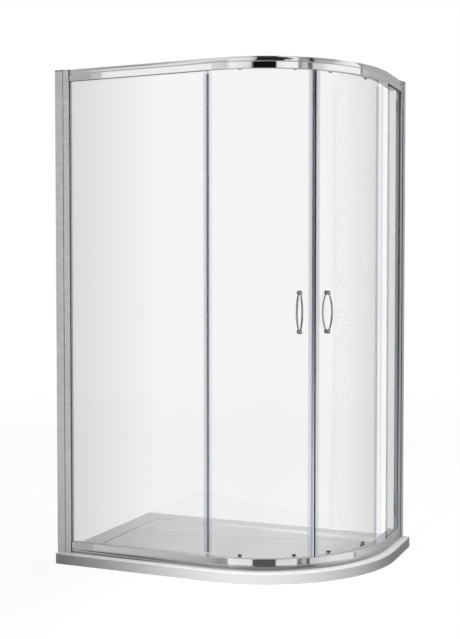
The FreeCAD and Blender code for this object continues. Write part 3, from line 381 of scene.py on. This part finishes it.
# the order of a pane's materials, and from what part of a normal on it counts as upright or as along an axis
paneParts = {"face": 0, "rim": 1, "frontEdge": 2}
lean = {"upright": 0.5, "along": 0.9}


def isPaneFace(node, normal, centre):
    # true on the two large faces of a pane, false on its cut edges and holes
    if abs(normal.z) > lean["upright"]:
        return False
    if node == "fixed_glass_left":
        return abs(normal.y) > lean["along"]
    if node == "fixed_glass_right":
        return abs(normal.x) > lean["along"]
    outward = Vector((centre.x - bend["centre"][0], centre.y - bend["centre"][1], 0)).normalized()
    return abs(normal.dot(outward)) > lean["along"]


def splitPane(node, mesh):
    # the rim's material goes on all but the large faces
    mesh.materials.append(materials["sealedEdge"])
    for polygon in mesh.polygons:
        onFace = isPaneFace(node, polygon.normal, polygon.center)
        polygon.material_index = paneParts["face" if onFace else "rim"]


def dressNodes():
    for name, piece in nodes.items():
        piece.data.materials.clear()
        piece.data.materials.append(materials[finishOf(name)])
        if "glass" in name:
            splitPane(name, piece.data)
    # the right pane's cut edge towards the front is as dark a green as thick glass
    pane = nodes["fixed_glass_right"].data
    pane.materials.append(materials["glassEdge"])
    for polygon in pane.polygons:
        if polygon.normal.y < -lean["along"]:
            polygon.material_index = paneParts["frontEdge"]


dressNodes()
print("nodes dressed")


# mesh helpers; edges sharper than this many degrees stay sharp
sharpEdges = {"usual": 32, "handle": 40}


def addPiece(name, mesh, finish, body, slot, *replaced):
    piece = bpy.data.objects.new(name, mesh)
    bpy.context.scene.collection.objects.link(piece)
    mesh.materials.append(materials[finish])
    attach(piece, body)
    if replaced:
        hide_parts(*replaced)
    return piece


def shadeMesh(mesh, sharpAngle):
    mesh.shade_smooth()
    mesh.set_sharp_from_angle(angle=math.radians(sharpAngle))


def plainMesh(name, work):
    mesh = bpy.data.meshes.new(name)
    work.to_mesh(mesh)
    work.free()
    return mesh


def meshFrom(name, work, sharpAngle=sharpEdges["usual"]):
    bmesh.ops.recalc_face_normals(work, faces=work.faces)
    mesh = plainMesh(name, work)
    shadeMesh(mesh, sharpAngle)
    return mesh


def addRings(work, rings, closed):
    # a skin over rings of vertices, with both ends filled where it is closed
    for ring, after in zip(rings, rings[1:]):
        for k in range(len(ring)):
            work.faces.new((ring[k - 1], ring[k], after[k], after[k - 1]))
    if closed:
        work.faces.new(rings[0])
        work.faces.new(list(reversed(rings[-1])))


def ellipseRing(work, middle, wide, deep, count):
    # count vertices round an ellipse that two vectors from its middle span
    turns = [math.tau * k / count for k in range(count)]
    return [work.verts.new(middle + wide * math.cos(turn) + deep * math.sin(turn)) for turn in turns]


def bendTurn(side, degrees):
    # the direction of a point that lies so many degrees from the meeting line
    return meetingTurn + sides[side] * math.radians(degrees)


def bendAxes(turn):
    # unit vectors away from the bend's centre and along the bend
    outward = Vector((math.cos(turn), math.sin(turn), 0))
    return outward, Vector((-outward.y, outward.x, 0))


def railStations():
    # points and inward directions along front, bend and side, as seen from above
    cx, cy = bend["centre"]
    stations = [((bend["railStart"], cy - bend["radius"]), (0, 1))]
    for step in range(bend["steps"] + 1):
        turn = math.radians(bend["start"]) + math.radians(bend["sweep"]) * step / bend["steps"]
        outward = (math.cos(turn), math.sin(turn))
        stations.append(((cx + bend["radius"] * outward[0], cy + bend["radius"] * outward[1]),
                         (-outward[0], -outward[1])))
    stations.append(((cx + bend["radius"], bend["railFinish"]), (-1, 0)))
    return stations


# rails: heights in metres, with the bottom rail's foot and the top rail's top
railShape = {
    "bottom": 0.040, "top": 1.890,
    "bevel": {"width": 0.0004, "segments": 2, "angle": 35},
    # the outline in millimetres: inset from the outer face, and rise from the foot or fall from the top
    "section": [(5, 0), (44, 0), (44, 6), (42, 6), (42, 2), (14.5, 2), (14.5, 36), (42, 36), (42, 32),
                (44, 32), (44, 38), (14.5, 38), (14.5, 44), (12.5, 44), (12.5, 22), (2.5, 22), (2.5, 44),
                (0.8, 44), (0, 43.2), (0, 20.4), (0.8, 19.8), (3, 16.8), (2, 16.4)],
    # the section closes along an arc from its last point to its first
    "cove": {"radius": 46.3, "turn": 20.7, "steps": 6, "start": (2, 16.4)},
    "chamber": [(7.5, 2), (12.5, 2), (12.5, 20), (4.5, 20), (4.5, 12)],
}
perMetre = 1000      # millimetres


def coveArc():
    cove = railShape["cove"]
    points = []
    for step in range(1, cove["steps"]):
        turn = math.radians(cove["turn"]) * step / cove["steps"]
        points.append((cove["start"][0] + cove["radius"] * (1 - math.cos(turn)),
                       cove["start"][1] - cove["radius"] * math.sin(turn)))
    return points


def fillEnd(work, loops):
    # one end of the rail, with the chamber left open
    edges = [work.edges.get((loop[k - 1], loop[k])) for loop in loops for k in range(len(loop))]
    bmesh.ops.triangle_fill(work, use_beauty=True, use_dissolve=False, edges=edges)


def sweepRail(name, level, up):
    work = bmesh.new()
    stations = railStations()
    nearLoops, farLoops = [], []
    for outline in (railShape["section"] + coveArc(), railShape["chamber"]):
        rings = []
        for (x, y), (inX, inY) in stations:
            rings.append([work.verts.new((x + inX * inset / perMetre, y + inY * inset / perMetre,
                                          railShape[level] + up * rise / perMetre))
                          for inset, rise in outline])
        addRings(work, rings, False)
        nearLoops.append(rings[0])
        farLoops.append(rings[-1])
    fillEnd(work, nearLoops)
    fillEnd(work, farLoops)
    return meshFrom(name, work)


def addBevel(piece, facts):
    bevel = piece.modifiers.new("softEdges", "BEVEL")
    bevel.width = facts["width"]
    bevel.segments = facts["segments"]
    bevel.limit_method = "ANGLE"
    bevel.angle_limit = math.radians(facts["angle"])
    bevel.harden_normals = False


def makeRails():
    for level, up in {"bottom": 1, "top": -1}.items():
        name = f"{level}RailBent"
        rail = addPiece(name, sweepRail(name, level, up), "railChrome", "frame", "bright_aluminium",
                        f"{level}_rail")
        addBevel(rail, railShape["bevel"])


makeRails()
print("rails swept")


# curved door panes: radii and heights in metres, turns in degrees from the meeting line
handlePlace = {"turn": 6.95, "height": 0.975, "spacing": 0.143}
doorPane = {
    "outer": 0.473, "inner": 0.467, "near": 1.0, "far": 49.4, "foot": 0.046, "top": 1.884, "steps": 48,
    "handleHole": 0.006, "rollerTurns": (8.9, 34.0), "topRoller": 1.866, "topHole": 0.007,
    # the slot that leaves the bottom roller's arm its way down
    "slotFoot": 0.058, "slotRadius": 0.0051, "slotRise": 0.006,
    "drillSides": 32, "drillReach": 0.01,
}


def doorHoles():
    # turn, height of the lowest centre, radius, and how much higher the uppermost centre is
    holes = []
    for level in (-1, 1):
        height = handlePlace["height"] + level * handlePlace["spacing"] / 2
        holes.append((handlePlace["turn"], height, doorPane["handleHole"], 0))
    for turn in doorPane["rollerTurns"]:
        holes.append((turn, doorPane["topRoller"], doorPane["topHole"], 0))
        holes.append((turn, doorPane["slotFoot"], doorPane["slotRadius"], doorPane["slotRise"]))
    return holes


def drillRing(work, middle, across, radius, stretch):
    # a circle, or an upright slot where its upper half is lifted by stretch
    ring = []
    for k in range(doorPane["drillSides"]):
        angle = math.tau * (k + 0.5) / doorPane["drillSides"]
        rise = radius * math.sin(angle) + (stretch if angle < math.pi else 0)
        spot = middle + across * radius * math.cos(angle)
        ring.append(work.verts.new((spot.x, spot.y, spot.z + rise)))
    return ring


def drillTool(side):
    # all the drills of one door as one mesh
    work = bmesh.new()
    paneMiddle = (doorPane["outer"] + doorPane["inner"]) / 2
    for degrees, height, radius, stretch in doorHoles():
        outward, across = bendAxes(bendTurn(side, degrees))
        middle = Vector((*bend["centre"], height)) + outward * paneMiddle
        rings = [drillRing(work, middle + outward * reach, across, radius, stretch)
                 for reach in (-doorPane["drillReach"], doorPane["drillReach"])]
        addRings(work, rings, True)
    bmesh.ops.recalc_face_normals(work, faces=work.faces)
    return bpy.data.objects.new("drillTool", plainMesh("drillTool", work))


def curvedSlab(name, side):
    work = bmesh.new()
    columns = []
    corners = [(doorPane["outer"], doorPane["foot"]), (doorPane["outer"], doorPane["top"]),
               (doorPane["inner"], doorPane["top"]), (doorPane["inner"], doorPane["foot"])]
    cx, cy = bend["centre"]
    for step in range(doorPane["steps"] + 1):
        degrees = doorPane["near"] + (doorPane["far"] - doorPane["near"]) * step / doorPane["steps"]
        turn = bendTurn(side, degrees)
        columns.append([work.verts.new((cx + math.cos(turn) * reach, cy + math.sin(turn) * reach, z))
                        for reach, z in corners])
    addRings(work, columns, True)
    return meshFrom(name, work)


def bake(piece):
    # keep the mesh as its modifiers leave it
    graph = bpy.context.evaluated_depsgraph_get()
    mesh = bpy.data.meshes.new_from_object(piece.evaluated_get(graph))
    piece.modifiers.clear()
    piece.data = mesh
    return mesh


def makeDoorPanes():
    for side in sides:
        name = f"doorPane_{side}"
        pane = addPiece(name, curvedSlab(name, side), "glassFace", f"door_{side}", "clear_glass",
                        f"door_glass_{side}")
        tool = drillTool(side)
        bpy.context.scene.collection.objects.link(tool)
        drilling = pane.modifiers.new("drilling", "BOOLEAN")
        drilling.operation = "DIFFERENCE"
        drilling.solver = "EXACT"
        drilling.object = tool
        mesh = bake(pane)
        bpy.data.objects.remove(tool)
        splitPane(name, mesh)
        shadeMesh(mesh, sharpEdges["usual"])


makeDoorPanes()
print("door panes bent and drilled")


# bow handles: two round feet and a rounded strap bent between them, inside and outside each pane
bow = {
    "rise": 0.022, "steps": 28, "sides": 16,
    "seat": {"outer": 0.4741, "inner": 0.4659},
    # half of the strap's width and thickness at its ends and at its crest
    "halfWidth": (0.0028, 0.0040), "halfThickness": (0.0020, 0.0025),
    # reach from the seat along the foot, and the foot's radius there
    "foot": [(0, 0.0082), (0.0050, 0.0082), (0.0066, 0.0079), (0.0078, 0.0071), (0.0086, 0.0056),
             (0.0090, 0.0034)],
    "footMiddle": 0.0045, "footSides": 32,
}


def between(span, share):
    return span[0] + (span[1] - span[0]) * share


def addStrap(work, seat, outward, across, up):
    # the strap follows an arc over the two feet and is fullest at its crest
    spacing, crest = handlePlace["spacing"], bow["rise"]
    radius = (spacing ** 2 / 4 + crest ** 2) / (2 * crest)
    half = 2 * math.atan(2 * crest / spacing)
    rings = []
    for step in range(bow["steps"] + 1):
        swing = half * (2 * step / bow["steps"] - 1)
        fullness = math.cos(math.pi / 2 * swing / half)
        reach = bow["footMiddle"] + crest - radius + radius * math.cos(swing)
        middle = seat + outward * reach + up * radius * math.sin(swing)
        normal = outward * math.cos(swing) + up * math.sin(swing)
        rings.append(ellipseRing(work, middle, across * between(bow["halfWidth"], fullness),
                                 normal * between(bow["halfThickness"], fullness), bow["sides"]))
    addRings(work, rings, True)


def makeHandle(side, face):
    out = 1 if face == "outer" else -1
    outward, across = bendAxes(bendTurn(side, handlePlace["turn"]))
    up = Vector((0, 0, 1))
    seat = Vector((*bend["centre"], handlePlace["height"])) + outward * bow["seat"][face]
    work = bmesh.new()
    addStrap(work, seat, outward * out, across, up)
    for level in (-1, 1):
        foot = seat + up * level * handlePlace["spacing"] / 2
        rings = [ellipseRing(work, foot + outward * out * reach, across * size, up * size, bow["footSides"])
                 for reach, size in bow["foot"]]
        addRings(work, rings, True)
    name = f"bowHandle_{face}_{side}"
    addPiece(name, meshFrom(name, work, sharpEdges["handle"]), "handleChrome", f"door_{side}",
             "chrome_plate", f"handle_{face}_{side}")


for side in sides:
    for face in bow["seat"]:
        makeHandle(side, face)
print("handles bent")


# studio: floor, world and lamps; lengths in metres, lamps in watts, cones in degrees
studio = {
    "floorSize": 40, "floorDrop": 0.0006, "floorColour": (0.15, 0.15, 0.15, 1), "floorRoughness": 0.9,
    "floorShine": 0.1,
    # the floor's own light near the object, and from farFrom on, where the lamps no longer add to it
    "nearGlow": 0.85, "farGlow": 0.965, "farFrom": 7,
    # painted shade: the dark disc that shows through the waste hole
    "shadePlace": (0.3187, -0.1187, -0.0003), "shadeRadius": 0.056, "shadeSides": 32,
    "shadeColour": (0.04, 0.04, 0.042, 1), "shadeRoughness": 0.8,
    # the world's light on dull surfaces, and how much brighter it is to rays that glass has bent
    "worldLight": 0.12, "bentGain": 0.85,
}
white = (1, 1, 1, 1)

# What polished metal mirrors round the studio: a grey wall on the left, then bright walls with dark flags in
# front of them. Every ring has the sine of its elevation, the part of the grey wall it crosses, and azimuths
# in degrees with the light there. The grey wall ends at the first azimuth; the back wall closes the ring.
# Apart from the two middle rings, the azimuths came from a scratch program, which turned the columns where
# the photograph's rails grow light or dark into mirrored directions. The levels were listed and adjusted
# against averages of the photograph's patches. That is a fault of this script.
greyWall = {"low": 0.38, "middle": 0.48, "high": 0.46}
backWall = (180, 0.7)
wallEdge = 0.05       # degrees over which the grey wall ends, to either side
coolness = 1.01       # how much more blue than red the studio's light has
mirrorRings = [
    # below the bottom rail: its cove
    (-0.94, "low", [(-151.3, 0.1), (-147.7, 0.1), (-146.2, 0.32), (-121.6, 0.32), (-104.4, 0.1),
        (-20.6, 0.1), (-9.9, 0.25), (44, 0.28), (93.5, 0.34)]),
    (-0.76, "low", [(-135.1, 0.12), (-128.4, 0.12), (-127.2, 0.48), (-88.3, 0.45), (-76.6, 0.25),
        (-52, 0.25), (-41.6, 0.45), (31, 0.5), (56.4, 0.42), (88.5, 0.34)]),
    (-0.68, "low", [(-131.3, 0.06), (-126.9, 0.06), (-125.6, 0.34), (-104.2, 0.34), (-93.7, 0.22),
        (-37, 0.22), (-28.6, 0.25), (25.9, 0.28), (85.9, 0.34)]),
    # its groove and its band
    (-0.29, "low", [(-121.3, 0.06), (-117.5, 0.06), (-116.4, 0.34), (-114.8, 0.3), (-98, 0.26),
        (-97.2, 0.55), (-87.5, 0.3), (-77.1, 0.25), (-56.5, 0.25), (-44.4, 0.2), (-37.3, 0.12),
        (-25.5, 0.1), (-12.2, 0.45), (16.6, 0.5), (21.5, 0.45), (77.4, 0.33)]),
    (-0.26, "low", [(-120.4, 0.38), (-116.9, 0.44), (-113.2, 0.4), (-113, 0.26), (-111.8, 0.34),
        (-104.6, 0.22), (-97.9, 0.3), (-97.2, 0.95), (-77.3, 0.95), (-76.6, 0.1), (-57.6, 0.1),
        (-56.9, 0.85), (-38.9, 0.85), (-38.2, 0.14), (-34.8, 0.16), (-34.1, 0.42), (-30.2, 0.4),
        (-29.5, 0.02), (-27.5, 0.02), (-26.8, 0.6), (-14.1, 0.72), (-8.3, 0.84), (17.3, 0.84), (18, 0.2),
        (19.7, 0.22), (20.5, 0.56), (42.7, 0.5), (69.4, 0.38), (76, 0.33)]),
    # at the height of uprights and handles
    (-0.2, "middle", [(-119.8, 0.9), (-97, 0.9), (-88, 0.5), (-77, 0.05), (-57, 0.05), (-40, 0.7),
        (-10, 0.9), (20, 0.9), (40, 0.5), (76, 0.42)]),
    (0.13, "middle", [(-119.8, 0.9), (-97, 0.9), (-88, 0.6), (-77, 0.02), (-57, 0.02), (-50, 0.9),
        (-10, 0.9), (20, 0.9), (40, 0.5), (76, 0.45)]),
    # the top rail's band
    (0.2, "high", [(-119.2, 1), (-112.5, 1.02), (-112.4, 0.78), (-97.5, 0.66), (-96.6, 1.05), (-79, 0.95),
        (-77.8, 0.7), (-76.8, 0.005), (-57.4, 0.005), (-56.7, 1.05), (-39.4, 1.05), (-38.7, 0.2),
        (-35.5, 0.26), (-34.8, 0.56), (-30.6, 0.5), (-29.9, 0.02), (-26.5, 0.02), (-25.6, 0.62),
        (-17.6, 0.74), (-10, 1.05), (22.8, 1.05), (23.5, 0.06), (25, 0.06), (25.8, 0.54), (52.4, 0.48),
        (75.9, 0.45)]),
    (0.25, "high", [(-120.5, 0.8), (-118.1, 0.85), (-115.1, 0.95), (-115, 0.55), (-98.3, 0.5), (-97.2, 1),
        (-79.2, 0.9), (-75.3, 0.6), (-74.6, 0.02), (-50.3, 0.02), (-49.4, 1), (-38.6, 1), (-37.9, 0.35),
        (-34.6, 0.3), (-33.9, 0.5), (-28.7, 0.45), (-27.9, 0.02), (-24.5, 0.02), (-23.6, 0.5),
        (-8.5, 0.6), (1.6, 0.95), (25.1, 1.05), (25.7, 0.06), (27.3, 0.06), (28.1, 0.5), (77.8, 0.45)]),
    # its groove
    (0.43, "high", [(-122.3, 0.8), (-119.8, 0.75), (-116.6, 0.85), (-99.3, 0.8), (-98.2, 0.95),
        (-79.6, 0.85), (-74.3, 0.6), (-73.6, 0.02), (-44.2, 0.02), (-43, 0.95), (-37.2, 0.9),
        (-36.5, 0.35), (-27.1, 0.32), (-26.4, 0.02), (-22.6, 0.02), (-21.7, 0.4), (-4.7, 0.45),
        (10.1, 0.9), (27.4, 1), (28, 0.06), (29.5, 0.06), (30.3, 0.46), (79.6, 0.44)]),
    (0.48, "high", [(-123.1, 0.25), (-120.5, 0.3), (-118.8, 0.6), (-117.4, 0.8), (-79.8, 0.8),
        (-74.1, 0.6), (-73.3, 0.02), (-41.1, 0.02), (-39.6, 0.9), (-36.7, 0.9), (-35.9, 0.35),
        (-26.4, 0.3), (-25.7, 0.02), (-21.9, 0.02), (-20.9, 0.38), (-0.7, 0.42), (13.3, 0.9), (28.4, 1),
        (29, 0.06), (30.6, 0.06), (31.3, 0.44), (80.4, 0.44)]),
    # above it: its cove
    (0.62, "high", [(-125.9, 0.25), (-123.2, 0.32), (-121.5, 0.62), (-119.9, 0.8), (-80.5, 0.75),
        (-74.4, 0.5), (-73.6, 0.02), (-46.2, 0.02), (-42.4, 0.9), (-34.8, 0.9), (-34.1, 0.32),
        (-24.1, 0.28), (-23.4, 0.02), (-19.4, 0.02), (-18.4, 0.38), (3.5, 0.42), (16.6, 0.9),
        (30.9, 0.95), (32.8, 0.4), (82.5, 0.42)]),
    (0.69, "high", [(-128.2, 0.85), (-122, 0.85), (-81, 0.7), (-74, 0.1), (-55.1, 0.1), (-49.1, 0.85),
        (-33.1, 0.6), (-25.1, 0.4), (-16.9, 0.35), (5.9, 0.45), (21.4, 0.9), (33.3, 0.9), (35.8, 0.42),
        (83.9, 0.42)]),
    (0.82, "high", [(-132.5, 0.85), (-126, 0.85), (-82.2, 0.7), (-74.5, 0.1), (-53.8, 0.1), (-47.2, 0.85),
        (-30, 0.6), (-12.9, 0.4), (10.4, 0.5), (25.9, 0.9), (40, 0.42), (86, 0.42)]),
    (0.9, "high", [(-145.5, 0.2), (-141.9, 0.3), (-139.2, 0.5), (-86.9, 0.45), (-76.5, 0.02),
        (-48.4, 0.02), (-34.4, 0.4), (0.1, 0.3), (32.5, 0.4), (50.2, 0.35), (90.5, 0.4)]),
]


def stageObject(name, mesh, place, material):
    staged = bpy.data.objects.new(name, mesh)
    staged.location = place
    bpy.context.scene.collection.objects.link(staged)
    mesh.materials.append(material)
    return staged


def makeFloor():
    mesh = bpy.data.meshes.new("studioFloor")
    half = studio["floorSize"] / 2
    corners = [(-half, -half, 0), (half, -half, 0), (half, half, 0), (-half, half, 0)]
    mesh.from_pydata(corners, [], [(0, 1, 2, 3)])
    material, tree, shader = startMaterial("paleFloor", Base_Color=studio["floorColour"],
                                           Roughness=studio["floorRoughness"],
                                           Specular_IOR_Level=studio["floorShine"], Emission_Color=white)
    rays = addNode(tree, "ShaderNodeLightPath")
    shown = higherOf(tree, rays.outputs["Is Camera Ray"], rays.outputs["Is Transmission Ray"])
    place = addNode(tree, "ShaderNodeTexCoord")
    away = addNode(tree, "ShaderNodeVectorMath", {"operation": "LENGTH"})
    tree.links.new(place.outputs["Object"], away.inputs[0])
    glow = mapRange(tree, away.outputs["Value"], studio["nearGlow"], studio["farGlow"], 0.0,
                    studio["farFrom"])
    tree.links.new(mapRange(tree, shown, 0.0, glow), shader.inputs["Emission Strength"])
    floor = stageObject("studioFloor", mesh, (0, 0, -studio["floorDrop"]), material)
    floor.visible_glossy = False


def makeWasteShade():
    # painted shade: a dark disc below the waste hole
    work = bmesh.new()
    bmesh.ops.create_circle(work, cap_ends=True, segments=studio["shadeSides"], radius=studio["shadeRadius"])
    material = startMaterial("wasteDark", Base_Color=studio["shadeColour"],
                             Roughness=studio["shadeRoughness"])[0]
    stageObject("wasteShade", plainMesh("wasteShade", work), studio["shadePlace"], material)


def coolGrey(level):
    return (level, level, level * coolness, 1)


def addRing(tree, azimuth, around, wall, lights):
    # a ring of light levels round the horizon, with one sharp edge where the grey wall ends
    ramp = addNode(tree, "ShaderNodeValToRGB")
    elements = ramp.color_ramp.elements
    stops = [*lights, backWall]
    while len(elements) < len(stops):
        elements.new(0)
    for element, (degrees, level) in zip(elements, stops):
        element.position = (degrees + 180) / 360
        element.color = coolGrey(level)
    tree.links.new(around, ramp.inputs["Fac"])
    wallEnd = lights[0][0]
    edgeSpan = [math.radians(wallEnd + turn) for turn in (-wallEdge, wallEdge)]
    past = mapRange(tree, azimuth, 0.0, 1.0, *edgeSpan)
    return mixOf(tree, past, coolGrey(greyWall[wall]), ramp.outputs["Color"])


def addMirrored(tree):
    # the rings, blended from the lowest to the highest
    place = addNode(tree, "ShaderNodeTexCoord")
    split = addNode(tree, "ShaderNodeSeparateXYZ")
    tree.links.new(place.outputs["Generated"], split.inputs["Vector"])
    azimuth = addNode(tree, "ShaderNodeMath", {"operation": "ARCTAN2"})
    tree.links.new(split.outputs["Y"], azimuth.inputs[0])
    tree.links.new(split.outputs["X"], azimuth.inputs[1])
    around = mapRange(tree, azimuth.outputs[0], 0.0, 1.0, -math.pi, math.pi)
    low, *ring = mirrorRings[0]
    colour = addRing(tree, azimuth.outputs[0], around, *ring)
    for high, *ring in mirrorRings[1:]:
        share = mapRange(tree, split.outputs["Z"], 0.0, 1.0, low, high)
        colour = mixOf(tree, share, colour, addRing(tree, azimuth.outputs[0], around, *ring))
        low = high
    return colour


def makeWorld():
    world = bpy.data.worlds.new("studioWorld")
    bpy.context.scene.world = world
    world.use_nodes = True
    tree = world.node_tree
    backdrop = tree.nodes["Background"]
    rays = addNode(tree, "ShaderNodeLightPath")
    glossy, bent = rays.outputs["Is Glossy Ray"], rays.outputs["Is Transmission Ray"]
    tree.links.new(mixOf(tree, glossy, white, addMirrored(tree)), backdrop.inputs["Color"])
    seen = higherOf(tree, rays.outputs["Is Camera Ray"], bent)
    gain = addNode(tree, "ShaderNodeMath", {"operation": "MULTIPLY_ADD"})
    tree.links.new(bent, gain.inputs[0])
    gain.inputs[1].default_value = studio["bentGain"]
    tree.links.new(mapRange(tree, higherOf(tree, seen, glossy), studio["worldLight"], 1.0), gain.inputs[2])
    tree.links.new(gain.outputs[0], backdrop.inputs["Strength"])


lamps = {
    "topLamp": {"kind": "AREA", "place": (0.35, -0.1, 4.4), "target": (0.3, -0.1, 0), "size": 2.6,
                "power": 140},
    "poolLamp": {"kind": "SPOT", "place": (0.35, -3.35, 1.5), "target": (0.36, -0.25, 0.02), "size": 0.35,
                 "power": 440, "cone": 30, "softness": 1.0},
    "sideLamp": {"kind": "AREA", "place": (4.2, -0.6, 1.4), "target": (0.5, 0.0, 0.2), "size": 1.6,
                 "power": 2},
}


def makeLamps():
    for name, facts in lamps.items():
        data = bpy.data.lights.new(name, facts["kind"])
        data.energy = facts["power"]
        if facts["kind"] == "AREA":
            data.shape = "SQUARE"
            data.size = facts["size"]
        else:
            data.shadow_soft_size = facts["size"]
            data.spot_size = math.radians(facts["cone"])
            data.spot_blend = facts["softness"]
        lamp = bpy.data.objects.new(name, data)
        lamp.location = facts["place"]
        aim = Vector(facts["target"]) - lamp.location
        lamp.rotation_euler = aim.to_track_quat("-Z", "Y").to_euler()
        lamp.visible_glossy = False
        bpy.context.scene.collection.objects.link(lamp)


makeFloor()
makeWasteShade()
makeWorld()
makeLamps()
# the rails' coves mirror the studio, not the tray's white rim
nodes["shower_tray"].visible_glossy = False
bpy.context.scene.view_settings.view_transform = "Standard"
print("studio lit")
